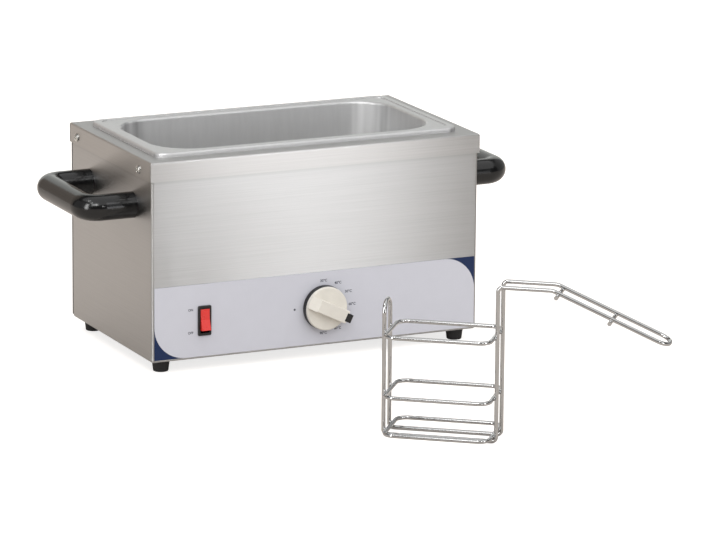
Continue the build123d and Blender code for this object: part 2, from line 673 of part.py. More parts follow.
def knob_base():
    """Lower half of the knob: rim, web and hub, with the pointer."""
    hollow = KNOB_BASE_H - KNOB_WEB
    part = knob_disc(0, KNOB_BASE_H) - Cylinder(KNOB_R - KNOB_DRAFT - KNOB_WALL, hollow, align=LOW)
    part += Cylinder(KNOB_HUB_R, hollow, align=LOW)
    pointer = knob_pointer(0)
    part += fillet(pointer.faces().sort_by(Axis.Z)[-1].edges(), POINTER_EDGE_R)
    return knob_place() * (part - knob_bore())


def knob_cap():
    """Upper half of the knob: disc and grip bar with a sloped tail, notched for the pointer."""
    bar = Box(2 * KNOB_R, GRIP_W, KNOB_H - KNOB_BASE_H, align=LOW)
    bar = Pos(0, 0, KNOB_BASE_H) * bar & Cylinder(KNOB_R - KNOB_DRAFT, KNOB_H, align=LOW)
    bar = fillet(bar.faces().sort_by(Axis.Z)[-1].edges(), GRIP_EDGE_R)
    edge, high = -KNOB_R - PAST, KNOB_H + PAST
    slope = Polygon((edge, KNOB_DISC_H), (GRIP_RAMP - KNOB_R, high), (edge, high), align=None)
    bar -= extrude(Plane.XZ * slope, KNOB_R, both=True)
    part = knob_disc(KNOB_BASE_H, KNOB_DISC_H) + bar
    return knob_place() * (part - knob_bore() - knob_pointer(RUN_FIT))


def thermostat_shaft():
    """Round shaft with a flat in the knob, running in the thermostat's bore."""
    low = -PANEL_BACK - SHAFT_IN
    shaft = Pos(0, 0, low) * Cylinder(SHAFT_R, SHAFT_OUT - low, align=LOW)
    flat = Box(4 * SHAFT_R, 2 * SHAFT_R, SHAFT_OUT, align=(Align.CENTER, Align.MIN, Align.MIN))
    shaft -= Pos(0, SHAFT_R - SHAFT_FLAT, 0) * flat
    return PANEL * Pos(KNOB_X, KNOB_Z, 0) * Rot(0, 0, KNOB_TURN) * shaft


def thermostat_body():
    """Capillary thermostat behind the panel: front plate, moulded body, shaft bore, screw holes and tabs."""
    plate = Box(THERMOSTAT_W, THERMOSTAT_H, THERMOSTAT_PLATE, align=HIGH)
    step = THERMOSTAT_STEP
    outline = RectangleRounded(THERMOSTAT_W - 2 * step, THERMOSTAT_H - 2 * step, THERMOSTAT_CORNER_R)
    body = extrude(outline, -THERMOSTAT_D)
    body = chamfer(body.faces().sort_by(Axis.Z)[0].edges(), step)
    part = plate + body
    part -= Cylinder(SHAFT_R + RUN_FIT, SHAFT_IN + SHAFT_END_GAP, align=HIGH)
    for side in (-1, 1):
        x = side * THERMOSTAT_SCREW_SPAN / 2
        part -= Pos(x, 0, 0) * Cylinder(SCREW_R + RUN_FIT, SCREW_LENGTH, align=HIGH)
        part += Pos(side * TAB_SPACING, -TAB_DROP, -THERMOSTAT_D) * Box(TAB_W, TAB_T, TAB_L, align=HIGH)
    return PANEL * Pos(KNOB_X, KNOB_Z, -PANEL_BACK) * part


def thermostat_screws():
    """Two screws through the panel into the thermostat, under the knob."""
    pieces = []
    for side in (-1, 1):
        seat = (KNOB_X + side * THERMOSTAT_SCREW_SPAN / 2, FRONT, KNOB_Z)
        pieces.append(screw(seat, (0, -1, 0), SCREW_R, SCREW_HEAD_R, SCREW_HEAD_H, SCREW_LENGTH))
    return group(pieces)


def sensor_bulb():
    """Thermostat sensor held flat under the well by the left clamp bar."""
    left = -CLAMP_SPACING / 2 - BULB_LEFT
    part = rod(ELEMENT_D / 2, (left, 0, ELEMENT_Z), (left + BULB_LENGTH, 0, ELEMENT_Z))
    return fillet(part.edges().filter_by(GeomType.CIRCLE), BULB_EDGE_R)


def capillary_tube():
    """Thin tube from the sensor down under the element and forward to the thermostat."""
    start = -CLAMP_SPACING / 2 - BULB_LEFT + BULB_LENGTH
    low = CLAMP_TOP_Z - CLAMP_T - CAPILLARY_DROP
    x = KNOB_X + CAPILLARY_D
    end_z = KNOB_Z - THERMOSTAT_H / 2 + CAPILLARY_RISE
    route = [(start, 0, ELEMENT_Z), (x, 0, ELEMENT_Z), (x, 0, low), (x, -ELEMENT_PITCH, low)]
    route += [(x, THERMOSTAT_BACK + 3 * CAPILLARY_BEND_R, end_z), (x, THERMOSTAT_BACK, end_z)]
    return bent_rod(route, [CAPILLARY_BEND_R] * 4, CAPILLARY_D / 2)


def overheat_cutout():
    """Disc cut-out fixed under the well, with two tabs pointing down."""
    part = rod(CUTOUT_R, (CUTOUT_X, 0, WELL_UNDER_Z), (CUTOUT_X, 0, WELL_UNDER_Z - CUTOUT_H))
    for side in (-1, 1):
        x = CUTOUT_X + side * TAB_SPACING / 2
        part += Pos(x, 0, WELL_UNDER_Z - CUTOUT_H) * Box(TAB_T, TAB_W, TAB_L, align=HIGH)
    return part


def handle_left():
    """Bow handle: one round bar bent twice, with blind screw holes in its legs."""
    reach = -SIDE - HANDLE_OUT + HANDLE_D / 2
    (y_front, z), (y_rear, _) = handle_legs()
    route = [(-SIDE, y_front, z), (reach, y_front, z), (reach, y_rear, z), (-SIDE, y_rear, z)]
    part = bent_rod(route, [HANDLE_BEND_R] * 2, HANDLE_D / 2)
    for y, z_leg in handle_legs():
        part -= rod(HANDLE_SCREW_R + RUN_FIT, (-SIDE, y, z_leg), (-SIDE - HANDLE_SCREW_L, y, z_leg))
    return part


def handle_screws():
    """Screws from inside the casing into the handle legs."""
    pieces = []
    for side in (-1, 1):
        for y, z in handle_legs():
            seat = (side * (SIDE - SHEET), y, z)
            head = HANDLE_SCREW_HEAD_R, HANDLE_SCREW_HEAD_H
            pieces.append(screw(seat, (-side, 0, 0), HANDLE_SCREW_R, *head, HANDLE_SCREW_L))
    return group(pieces)


def foot(x, y):
    """Tapered rubber foot with a screw recess underneath."""
    part = Cone(FOOT_LOW_R, FOOT_TOP_R, FOOT_H, align=LOW)
    part = fillet(part.edges().sort_by(Axis.Z)[0], FOOT_EDGE_R)
    part -= Cylinder(FOOT_RECESS_R, FOOT_RECESS, align=LOW)
    part -= Cylinder(FOOT_SCREW_R + RUN_FIT, FOOT_H, align=LOW)
    return Pos(x, y, 0) * part


def foot_screws():
    """Screws up through the feet, the casing's flanges and the base plate."""
    length = FOOT_H - FOOT_RECESS + 2 * SHEET + FOOT_SCREW_END
    head = FOOT_SCREW_HEAD_R, FOOT_SCREW_HEAD_H
    pieces = [screw((x, y, FOOT_RECESS), (0, 0, -1), FOOT_SCREW_R, *head, length)
              for x, y in foot_places().values()]
    return group(pieces)


def foot_nuts():
    """Nuts on the base plate over the feet."""
    return group([hex_nut(FOOT_SCREW_R, (x, y, BASE_TOP_Z), (0, 0, 1)) for x, y in foot_places().values()])


def cap_screws():
    """Screws through the cap's side skirts into the casing."""
    return group([screw(seat, outward, SCREW_R, SCREW_HEAD_R, SCREW_HEAD_H, SCREW_LENGTH)
                  for seat, outward in cap_screw_places()])


def rear_panel_screws():
    """Screws through the rear panel into the casing's returns."""
    return group([screw(seat, (0, 1, 0), SCREW_R, SCREW_HEAD_R, SCREW_HEAD_H, SCREW_LENGTH)
                  for seat in rear_screw_places()])


def gland_plane():
    """Cable entry on the rear panel, with z out of the panel."""
    return Plane(origin=(GLAND_X, REAR, GLAND_Z), z_dir=(0, 1, 0))


def gland_body():
    """Cable gland: hexagon seat outside, threaded stub through the panel, collar under the cap nut."""
    part = hex_prism(GLAND_FLAT_R, GLAND_HEX_H)
    part += Cylinder(GLAND_THREAD_R, GLAND_STUB, align=HIGH)
    part += Pos(0, 0, GLAND_HEX_H) * Cylinder(GLAND_THREAD_R, GLAND_COLLAR, align=LOW)
    return gland_plane() * (part - Cylinder(GLAND_BORE_R, HOLE))


def gland_cap_nut():
    """Hexagon nut with a domed end on the gland's collar."""
    height = GLAND_COLLAR + GLAND_CAP_END
    dome = Cylinder(GLAND_CAP_R, height, align=LOW)
    dome = fillet(dome.edges().sort_by(Axis.Z)[-1], GLAND_DOME_R)
    part = hex_prism(GLAND_FLAT_R, height) & dome
    part -= Cylinder(GLAND_THREAD_R + RUN_FIT, GLAND_COLLAR, align=LOW) + Cylinder(GLAND_MOUTH_R, HOLE)
    return gland_plane() * Pos(0, 0, GLAND_HEX_H) * part


def gland_lock_nut():
    """Flat nut on the gland's stub inside the panel."""
    part = hex_prism(GLAND_FLAT_R, GLAND_NUT_H) - Cylinder(GLAND_THREAD_R + RUN_FIT, GLAND_NUT_H, align=LOW)
    return gland_plane() * Pos(0, 0, -SHEET - GLAND_NUT_H) * part


def block_screw_places():
    """Fixing screws of the terminal block, between its poles."""
    return [(BLOCK_X + side * POLE_PITCH / 2, BLOCK_Y) for side in (-1, 1)]


def pole_height():
    """Height of the terminal block's wire holes."""
    return BASE_TOP_Z + POLE_RISE


def terminal_block():
    """Three-pole block with wire holes from both sides and a clamp-screw well over each."""
    part = Box(BLOCK_W, BLOCK_D, BLOCK_H, align=LOW)
    part = chamfer(part.edges().filter_by(Axis.Z), BLOCK_EDGE_R)
    for pole in (-1, 0, 1):
        x = pole * POLE_PITCH
        part -= rod(POLE_R, (x, -BLOCK_D, POLE_RISE), (x, BLOCK_D, POLE_RISE))
        for side in (-1, 1):
            part -= rod(POLE_R, (x, side * BLOCK_D / 4, BLOCK_H), (x, side * BLOCK_D / 4, POLE_RISE))
    part = Pos(BLOCK_X, BLOCK_Y, BASE_TOP_Z) * part
    for x, y in block_screw_places():
        part -= rod(SCREW_R + SCREW_FIT, (x, y, BASE_TOP_Z - PAST), (x, y, BASE_TOP_Z + BLOCK_H + PAST))
    return part


def block_screws():
    """Screws down through the terminal block into the base plate."""
    z = BASE_TOP_Z + BLOCK_H
    head = BLOCK_SCREW_HEAD_R, SCREW_HEAD_H
    return group([screw((x, y, z), (0, 0, 1), SCREW_R, *head, BLOCK_H + SHEET)
                  for x, y in block_screw_places()])


def earth_stud():
    """Earth stud welded to the base plate."""
    return rod(EARTH_STUD_R, (EARTH_X, EARTH_Y, BASE_TOP_Z), (EARTH_X, EARTH_Y, BASE_TOP_Z + EARTH_STUD_H))


def earth_nut():
    """Nut that holds the earth lead on its stud."""
    seat = (EARTH_X, EARTH_Y, pole_height() - NUT_HEIGHT * EARTH_STUD_R / 2)
    return hex_nut(EARTH_STUD_R, seat, (0, 0, 1))


def leads():
    """Six insulated leads, each from terminal to terminal along straight runs and bends."""
    pole_y = BLOCK_Y - BLOCK_D / 2
    pole_z = pole_height()
    step = 2 * LEAD_BEND_R + 2 * LEAD_R
    switch_end = SWITCH_BACK + TAB_L
    upper, lower = SWITCH_Z + SWITCH_TAB_SPACING / 2, SWITCH_Z - SWITCH_TAB_SPACING / 2
    thermostat_end = THERMOSTAT_BACK + TAB_L
    thermostat_z = KNOB_Z - TAB_DROP
    left_tab, right_tab = KNOB_X - TAB_SPACING, KNOB_X + TAB_SPACING
    cut_z = WELL_UNDER_Z - CUTOUT_H - TAB_L
    cut_left, cut_right = CUTOUT_X - TAB_SPACING / 2, CUTOUT_X + TAB_SPACING / 2
    low = BASE_TOP_Z + LEAD_FLOOR + LEAD_R
    front_z = CASE_Z + LEAD_FRONT_RISE
    pin_z = ELEMENT_Z - ELEMENT_DROP - ELEMENT_PIN_L
    (pin_x, front_pin), (_, rear_pin) = element_ends()
    turn_y = min(pole_y, rear_pin) - step
    neutral_x = BLOCK_X + POLE_PITCH
    earth_x = BLOCK_X - POLE_PITCH
    return {
        "lead_live": [
            (BLOCK_X, pole_y, pole_z), (BLOCK_X, LIVE_LEAD_Y, pole_z), (SWITCH_X, LIVE_LEAD_Y, pole_z),
            (SWITCH_X, switch_end + 2 * step, lower), (SWITCH_X, switch_end, lower),
        ],
        "lead_switch_to_thermostat": [
            (SWITCH_X, switch_end, upper), (SWITCH_X, switch_end + step, upper),
            (SWITCH_X + 2 * step, switch_end + step, front_z), (left_tab - step, switch_end + step, front_z),
            (left_tab, thermostat_end + step, thermostat_z), (left_tab, thermostat_end, thermostat_z),
        ],
        "lead_thermostat_to_cutout": [
            (right_tab, thermostat_end, thermostat_z), (right_tab, thermostat_end + step, thermostat_z),
            (cut_left, -2 * step, cut_z - step), (cut_left, 0, cut_z - step), (cut_left, 0, cut_z),
        ],
        "lead_cutout_to_element": [
            (cut_right, 0, cut_z), (cut_right, 0, low), (pin_x - step, front_pin, low),
            (pin_x, front_pin, low), (pin_x, front_pin, pin_z),
        ],
        "lead_neutral": [
            (neutral_x, pole_y, pole_z), (neutral_x, turn_y, pole_z), (pin_x, turn_y, pole_z),
            (pin_x, rear_pin, pole_z), (pin_x, rear_pin, pin_z),
        ],
        "lead_earth": [
            (earth_x, pole_y, pole_z), (earth_x, EARTH_Y, pole_z),
            (EARTH_X + NUT_FLAT * EARTH_STUD_R, EARTH_Y, pole_z),
        ],
    }


# Wire holder, in its own coordinates: x towards its handle, z up from the table
HOOP_W = ROOM_W + WIRE_D
HOOP_D = ROOM_D + WIRE_D
CARRIER_X = HOOP_W / 2 + WIRE_D - WELD_SINK
HOOP_BOTTOM_Z = WIRE_D / 2 + CARRIER_BEND_R
CARRIER_TIP_R = (ROD_SPAN - CARRIER_TIP_FLAT) / 2
ARM_KINK_X = CARRIER_X + ARM_FLAT


def holder_place():
    """Where the holder stands on the table."""
    return Pos(HOLDER_X, HOLDER_Y, 0) * Rot(0, 0, HOLDER_YAW)


def hoop(z):
    """Closed wire hoop that keeps the load upright."""
    half_w, half_d = HOOP_W / 2, HOOP_D / 2
    corners = [(half_w, half_d), (-half_w, half_d), (-half_w, 0)]
    route = [(half_w, 0, z)] + [(x, y, z) for x, y in corners]
    half = bent_rod(route, [HOOP_CORNER_R] * 2, WIRE_D / 2)
    return holder_place() * (half + mirror(half, Plane.XZ))


def hairpin(route, turns):
    """Wire along one rod and back along the other, from one rod's route and bends."""
    half = bent_rod(route, turns, WIRE_D / 2)
    return holder_place() * (half + mirror(half, Plane.XZ))


def carrier_end():
    """Hairpin up the left side, butt-welded to the arm's hairpin under the middle of the floor."""
    y = ROD_SPAN / 2
    low = WIRE_D / 2
    route = [
        (-CARRIER_X, 0, CARRIER_LEFT_TOP), (-CARRIER_X, y, CARRIER_LEFT_TOP), (-CARRIER_X, y, low), (0, y, low),
    ]
    return hairpin(route, [CARRIER_TIP_R, CARRIER_BEND_R])


def carrier_arm():
    """Hairpin from under the floor up the right side and out along the sloping arm."""
    y = ROD_SPAN / 2
    low = WIRE_D / 2
    top = CARRIER_TOP
    tip = ARM_KINK_X + ARM_RUN
    end = top - ARM_DROP
    route = [
        (0, y, low), (CARRIER_X, y, low), (CARRIER_X, y, top), (ARM_KINK_X, y, top), (tip, y, end), (tip, 0, end),
    ]
    return hairpin(route, [CARRIER_BEND_R] * 2 + [ARM_KINK_R, CARRIER_TIP_R])


def arm_brace(along):
    """Short wire welded across the underside of the arm, a way out along its slope."""
    slope = ARM_DROP / ARM_RUN
    x = ARM_KINK_X + along
    z = CARRIER_TOP - along * slope - (WIRE_D - WELD_SINK) * (1 + slope ** 2) ** 0.5
    half = ROD_SPAN / 2 + WIRE_D / 2 + BRACE_OVERHANG
    return holder_place() * rod(WIRE_D / 2, (x, -half, z), (x, half, z))


def build():
    """Every piece by name."""
    left = handle_left()
    pieces = {
        "casing_wrap": casing_wrap(),
        "rear_panel": rear_panel(),
        "base_plate": base_plate(),
        "top_cap": top_cap(),
        "bath_pan": bath_pan(),
        "heating_well": heating_well(),
        "well_rivets": well_rivets(),
        "heating_element": heating_element(),
        "element_clamps": element_clamps(),
        "clamp_studs": clamp_studs(),
        "clamp_nuts": clamp_nuts(),
        "film_navy": film(False, -2 * FILM_T),
        "film_grey": film(True, -FILM_T),
        "switch_housing": switch_housing(),
        "switch_rocker": switch_rocker(),
        "knob_cap": knob_cap(),
        "knob_base": knob_base(),
        "thermostat_shaft": thermostat_shaft(),
        "thermostat_body": thermostat_body(),
        "thermostat_screws": thermostat_screws(),
        "sensor_bulb": sensor_bulb(),
        "capillary_tube": capillary_tube(),
        "overheat_cutout": overheat_cutout(),
        "handle_left": left,
        "handle_right": mirror(left, Plane.YZ),
        "handle_screws": handle_screws(),
        "foot_screws": foot_screws(),
        "foot_nuts": foot_nuts(),
        "cap_screws": cap_screws(),
        "rear_panel_screws": rear_panel_screws(),
        "gland_body": gland_body(),
        "gland_cap_nut": gland_cap_nut(),
        "gland_lock_nut": gland_lock_nut(),
        "terminal_block": terminal_block(),
        "block_screws": block_screws(),
        "earth_stud": earth_stud(),
        "earth_nut": earth_nut(),
        "holder_carrier_end": carrier_end(),
        "holder_carrier_arm": carrier_arm(),
        "holder_hoop_bottom": hoop(HOOP_BOTTOM_Z),
        "holder_hoop_lower": hoop(HOOP_LOWER_Z),
        "holder_hoop_upper": hoop(HOOP_UPPER_Z),
        "holder_brace_inner": arm_brace(BRACE_INNER_AT),
        "holder_brace_outer": arm_brace(BRACE_OUTER_AT),
    }
    for place, (x, y) in foot_places().items():
        pieces[f"foot_{place}"] = foot(x, y)
    for name, route in leads().items():
        pieces[name] = bent_rod(route, [LEAD_BEND_R] * (len(route) - 2), LEAD_R)
    return pieces


os.makedirs("parts", exist_ok=True)
for name, piece in build().items():
    export_step(piece, f"parts/{name}.step")
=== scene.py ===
import json
from math import cos, pi, radians, sin

import bpy
import numpy as np
from bpy.props import FloatProperty, FloatVectorProperty, PointerProperty
from mathutils import Matrix, Vector


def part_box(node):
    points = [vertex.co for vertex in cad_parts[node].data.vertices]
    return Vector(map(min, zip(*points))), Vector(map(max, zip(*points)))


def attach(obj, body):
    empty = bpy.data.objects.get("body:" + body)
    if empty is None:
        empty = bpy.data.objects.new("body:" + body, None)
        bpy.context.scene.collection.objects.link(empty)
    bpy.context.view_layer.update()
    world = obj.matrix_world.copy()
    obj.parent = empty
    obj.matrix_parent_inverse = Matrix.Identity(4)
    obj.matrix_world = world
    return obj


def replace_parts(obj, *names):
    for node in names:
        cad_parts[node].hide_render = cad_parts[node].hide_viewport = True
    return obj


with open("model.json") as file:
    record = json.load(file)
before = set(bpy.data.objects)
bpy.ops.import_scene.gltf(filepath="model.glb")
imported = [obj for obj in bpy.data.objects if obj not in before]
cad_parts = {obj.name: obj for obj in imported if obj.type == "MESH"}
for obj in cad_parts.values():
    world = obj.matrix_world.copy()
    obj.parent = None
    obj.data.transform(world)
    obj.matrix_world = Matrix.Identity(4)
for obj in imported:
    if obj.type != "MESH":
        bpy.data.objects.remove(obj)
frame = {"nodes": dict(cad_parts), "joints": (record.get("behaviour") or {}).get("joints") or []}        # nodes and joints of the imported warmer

bl_info = {
    "name": "Sauce carton warmer",
    "version": (1, 0, 0),
    "blender": (4, 5, 0),
    "location": "3D View > Sidebar > Warmer",
    "description": "Finishes a table-top sauce warmer: casing, film, knob, switch, handles and wire holder",
    "category": "Object",
}

MM = 0.001
WHITE = (1, 1, 1)

# Sockets of the Mix node, whose names repeat: its two numbers, its two colours and the mixed colour
NUMBER_A, NUMBER_B = 2, 3
COLOUR_A, COLOUR_B, COLOUR_OUT = 6, 7, 2

# Patterns: the span that most of a noise lies in, fine and broad detail, and a cloud's size in plastic
NOISE_LOW, NOISE_HIGH = 0.3, 0.7
FINE_DETAIL, BROAD_DETAIL = 3.0, 1.0
CLOUD_MM = 14.0

# Brushed sheet: how far it faces sideways or up where the brushing turns, and the tone of the painted shade
# under a seam
FOLD_START, FOLD_END = 0.6, 0.8
SEAM_SHADE_TONE = 0.86

# Drawn sheet: cells of its faint marks and of its corner streaks, the span of the faint marks, and how far
# a corner faces both x and y
FINE_MARK_MM = (5.0, 5.0, 40.0)
CORNER_STREAK_MM = (9.0, 9.0, 400.0)
FAINT_LOW, FAINT_HIGH = 0.44, 0.56
CORNER_START, CORNER_END = 0.05, 0.25

# Moulded plastic
PLASTIC_IOR = 1.5

# Meshes: the corners of a flat square, the edge angle that stays sharp, and the points of each shape
SQUARE = (-1, -1), (1, -1), (1, 1), (-1, 1)
SHARP_EDGE = radians(35)
SCREW_SIDES, DOME_RINGS = 72, 30
BEAD_SIDES, BEAD_RINGS = 20, 14
DOT_SIDES = 32

# Print: half the ink's thickness, a capital's share of the font size, a stroke's added width, the dial
INK_HALF = 0.02 * MM
CAPITAL_SHARE = 0.72
STROKE_SHARE = 0.035
DIAL_NUMBERS = range(30, 91, 10)
DIAL_STEP = radians(30)

# Camera
IMAGE_W = 716
SENSOR_MM = 36.0

# Table: its reach and level, and its own painted glow, where the camera sees it and where metal mirrors it,
# with the ramp of that glow from front to back
TABLE_REACH = 20.0
TABLE_LEVEL = -0.1 * MM
SEEN_LIFT = 0.75
FRONT_LIFT, BACK_LIFT = 0.05, 0.275
GLOW_RAMP_FRONT, GLOW_RAMP_BACK = -0.15, 0.35

# Lamps: what they aim at, and the arc of small key lamps, in metres and degrees
LAMP_AIM = Vector((0, 0, 0.1))
KEY_LAMPS = 4
KEY_DISTANCE, KEY_SIZE = 2.6, 0.18
KEY_TURN, KEY_TURN_STEP = -80, 27
KEY_RISE, KEY_RISE_STEP = 62, -13


# Settings

def linear(code):
    """Linear red, green and blue of an sRGB hex colour, by the sRGB curve."""
    raw = np.array([int(code[i:i + 2], 16) for i in (1, 3, 5)]) / 255
    return tuple(np.where(raw <= 0.04045, raw / 12.92, ((raw + 0.055) / 1.055) ** 2.4))


def colour(label, note, code):
    """Colour property with an sRGB hex default."""
    return FloatVectorProperty(name=label, description=note, subtype="COLOR", min=0, max=1,
                               default=linear(code))


def length(label, note, size_mm):
    """Length property with a default in millimetres."""
    return FloatProperty(name=label, description=note, unit="LENGTH", default=size_mm * MM)


def angle(label, note, degrees):
    """Angle property with a default in degrees."""
    return FloatProperty(name=label, description=note, subtype="ANGLE", default=radians(degrees))


def power(label, note, watts):
    """Lamp power property."""
    return FloatProperty(name=label, description=note, unit="POWER", default=watts)


def brightness(label, note, strength):
    """Brightness property of a glowing sheet."""
    return FloatProperty(name=label, description=note, default=strength)


class SteelLook(bpy.types.PropertyGroup):
    """Metal of the casing, the bath, the fasteners and the wire holder."""
    casing: colour("Casing", "Brushed stainless steel of the casing", "#B6B6B6")
    cap: colour("Cap", "Brushed stainless steel of the cap", "#B6B5B4")
    pan: colour("Pan", "Satin stainless steel of the bath pan", "#D8D8D8")
    inner: colour("Inner sheet", "Mill-finish sheet of the heating well and clamps", "#A9A9A6")
    zinc: colour("Zinc", "Zinc-plated screws, nuts and studs", "#C9C8C4")
    chrome: colour("Chrome", "Plated wire of the holder", "#C0C0C0")
    brush_length: length("Brush length", "Length of one brushed streak", 90.0)
    brush_width: length("Brush width", "Width of one brushed streak", 0.9)
    # The dull line is a painted shade under the cap's skirt
    seam_shade_width: length("Seam width", "Width of the dull line where the casing meets the cap's skirt", 4.0)
    shank_length: length("Shank length", "Length of a cap or rear screw below its head", 8.0)
    rod_span: length("Rod span", "Distance between the middles of the wire holder's two rods", 25.0)
    weld_radius: length("Weld radius", "Half the width of a weld bead where two wires cross", 1.9)
    weld_height: length("Weld height", "Half the thickness of a weld bead between two wires", 0.8)


class PrintLook(bpy.types.PropertyGroup):
    """Control film and what is printed on it."""
    field: colour("Field", "Grey film", "#CCCDD6")
    corners: colour("Corners", "Navy film that shows at two corners", "#082450")
    ink: colour("Ink", "Numbers and words", "#3A3F4C")
    dial_rise: length("Dial rise", "Knob centre to the middle of a number above or below it", 26.6)
    dial_reach: length("Dial reach", "Knob centre to the middle of a number beside it", 31.2)
    digit_height: length("Digit height", "Height of the dial numbers", 2.6)
    word_height: length("Word height", "Height of the switch words", 2.4)
    word_offset: length("Word offset", "Switch centre to the middle of a word, sideways", 14.5)
    word_rise: length("Word rise", "Switch centre to the middle of a word, up and down", 11.5)
    dot_radius: length("Dot radius", "Radius of the off mark", 1.1)


class PlasticLook(bpy.types.PropertyGroup):
    """Moulded pieces outside."""
    handle: colour("Handles", "Gloss black phenolic", "#0B0B0C")
    black: colour("Black", "Switch housing, knob base and gland", "#101011")
    ivory: colour("Ivory", "Knob cap", "#DEDAD1")
    red: colour("Red", "Rocker", "#D6302A")
    rubber: colour("Rubber", "Feet", "#17171A")


class InsideLook(bpy.types.PropertyGroup):
    """Heater and wiring inside the casing."""
    sheath: colour("Sheath", "Heating element's sheath", "#5E5A55")
    copper: colour("Copper", "Sensor bulb and its tube", "#C98A5E")
    nickel: colour("Nickel", "Overheat cut-out", "#B9B3A6")
    phenolic: colour("Phenolic", "Thermostat body", "#2B2724")
    cream: colour("Cream", "Terminal block", "#D8D0B8")
    live: colour("Live", "Brown leads", "#6B4630")
    neutral: colour("Neutral", "Blue lead", "#3358A8")
    earth: colour("Earth", "Green lead", "#5F9A3A")


class StageLook(bpy.types.PropertyGroup):
    """Camera, floor and lamps."""
    azimuth: angle("Azimuth", "Camera's turn about the vertical", -25.2022)
    elevation: angle("Elevation", "Camera's height above the horizon", 13.6124)
    roll: angle("Roll", "Camera's tilt about its own axis", 0.4648)
    distance: length("Distance", "Camera to its target", 4887.6)
    target: FloatVectorProperty(name="Target", description="Point in the middle of the picture",
                                subtype="XYZ", unit="LENGTH", default=(0.0938351, 0.0, 0.0571355))
    focal: FloatProperty(name="Focal length", description="Focal length in picture pixels",
                         default=4826.63)
    floor: colour("Floor", "Pale table", "#BCB6B0")
    sheen: colour("Sheen", "Warm white of the table where metal mirrors it", "#FFF0E4")
    room: colour("Room", "Dim walls and ceiling that metal mirrors", "#505050")
    sky: colour("Sky", "Even light from all round on matt pieces", "#E4E4E4")
    backdrop: colour("Backdrop", "Sheet behind the warmer that its top mirrors", "#FAFCF8")
    side: colour("Side sheet", "Warm sheet behind to the left, which the left side mirrors", "#C4B8AD")
    walls: colour("Walls", "Walls at both sides, which the top mirrors when seen from a side", "#A8A8A8")
    daylight: colour("Daylight", "Colour of the tall lamp and the low sheet at the front right", "#FCFDFF")
    key: power("Key", "Each of the small lamps at the front left, for crisp highlights", 2.4)
    band: power("Band", "Tall lamp at the front right, which gives gloss a clear edge", 3.0)
    top: power("Top", "Large lamp overhead", 66.0)
    fill: brightness("Fill", "Sheet at the front left, which lights the pan", 6.5)
    low: brightness("Low sheet", "Low sheet at the front right, which the front mirrors", 6.2)
    strip: brightness("Strip", "Tall strip at the front left, which lights the bends", 9.0)


class WarmerLook(bpy.types.PropertyGroup):
    """Everything that can be changed on the warmer."""
    steel: PointerProperty(type=SteelLook)
    prints: PointerProperty(type=PrintLook)
    plastic: PointerProperty(type=PlasticLook)
    inside: PointerProperty(type=InsideLook)
    stage: PointerProperty(type=StageLook)


def look():
    """The warmer's settings in this scene."""
    return bpy.context.scene.warmer_look


# Nodes and materials

def add(tree, kind, links=None, inputs=None, **settings):
    """Adds a node with its settings, input values and links, and returns it."""
    node = tree.nodes.new(kind)
    for key, value in settings.items():
        setattr(node, key, value)
    for key, value in (inputs or {}).items():
        node.inputs[key].default_value = value
    for key, socket in (links or {}).items():
        tree.links.new(socket, node.inputs[key])
    return node


def blank(name):
    """New material with an empty node tree, and the tree."""
    material = bpy.data.materials.new(name)
    material.use_nodes = True
    material.node_tree.nodes.clear()
    return material, material.node_tree


def grain(tree, cell_mm, detail=2.0):
    """Noise over object coordinates, with a cell size in millimetres along x, y and z."""
    place = add(tree, "ShaderNodeTexCoord").outputs["Object"]
    scale = tuple(1 / (MM * size) for size in cell_mm)
    spread = add(tree, "ShaderNodeVectorMath", {0: place}, {1: scale}, operation="MULTIPLY").outputs[0]
    noise = {"Scale": 1.0, "Detail": detail}
    return add(tree, "ShaderNodeTexNoise", {"Vector": spread}, noise).outputs["Fac"]


def finish(tree, tone, relief, base, spread, roughness, sway, depth_mm, links=None, inputs=None, seam_shade=None):
    """Ends a material. The tone pattern moves its colour by a share of itself and its roughness by an
    amount, up and down, the relief pattern stands up by a real depth, a painted shade darkens the colour
    where it is given, and what else is given goes to the shader."""
    ends = {"From Min": NOISE_LOW, "From Max": NOISE_HIGH}
    share = add(tree, "ShaderNodeMapRange", {"Value": tone}, ends).outputs[0]
    dark = (*(channel * (1 - spread) for channel in base), 1)
    light = (*(min(channel * (1 + spread), 1) for channel in base), 1)
    shades = {COLOUR_A: dark, COLOUR_B: light}
    shade = add(tree, "ShaderNodeMix", {"Factor": share}, shades, data_type="RGBA").outputs[COLOUR_OUT]
    # Painted shade: the colour darkens towards a share of itself where the shade is given
    if seam_shade is not None:
        unshaded_tone = {"Factor": seam_shade, COLOUR_A: shade}
        shaded_tone = {COLOUR_B: (*(channel * SEAM_SHADE_TONE for channel in base), 1)}
        shade = add(tree, "ShaderNodeMix", unshaded_tone, shaded_tone, data_type="RGBA").outputs[COLOUR_OUT]
    ends = {"To Min": roughness - sway, "To Max": roughness + sway}
    gloss = add(tree, "ShaderNodeMapRange", {"Value": share}, ends).outputs[0]
    level = add(tree, "ShaderNodeBump", {"Height": relief}, {"Distance": depth_mm * MM}).outputs[0]
    surface = {"Base Color": shade, "Roughness": gloss, "Normal": level, **(links or {})}
    shader = add(tree, "ShaderNodeBsdfPrincipled", surface, inputs)
    add(tree, "ShaderNodeOutputMaterial", {"Surface": shader.outputs[0]})


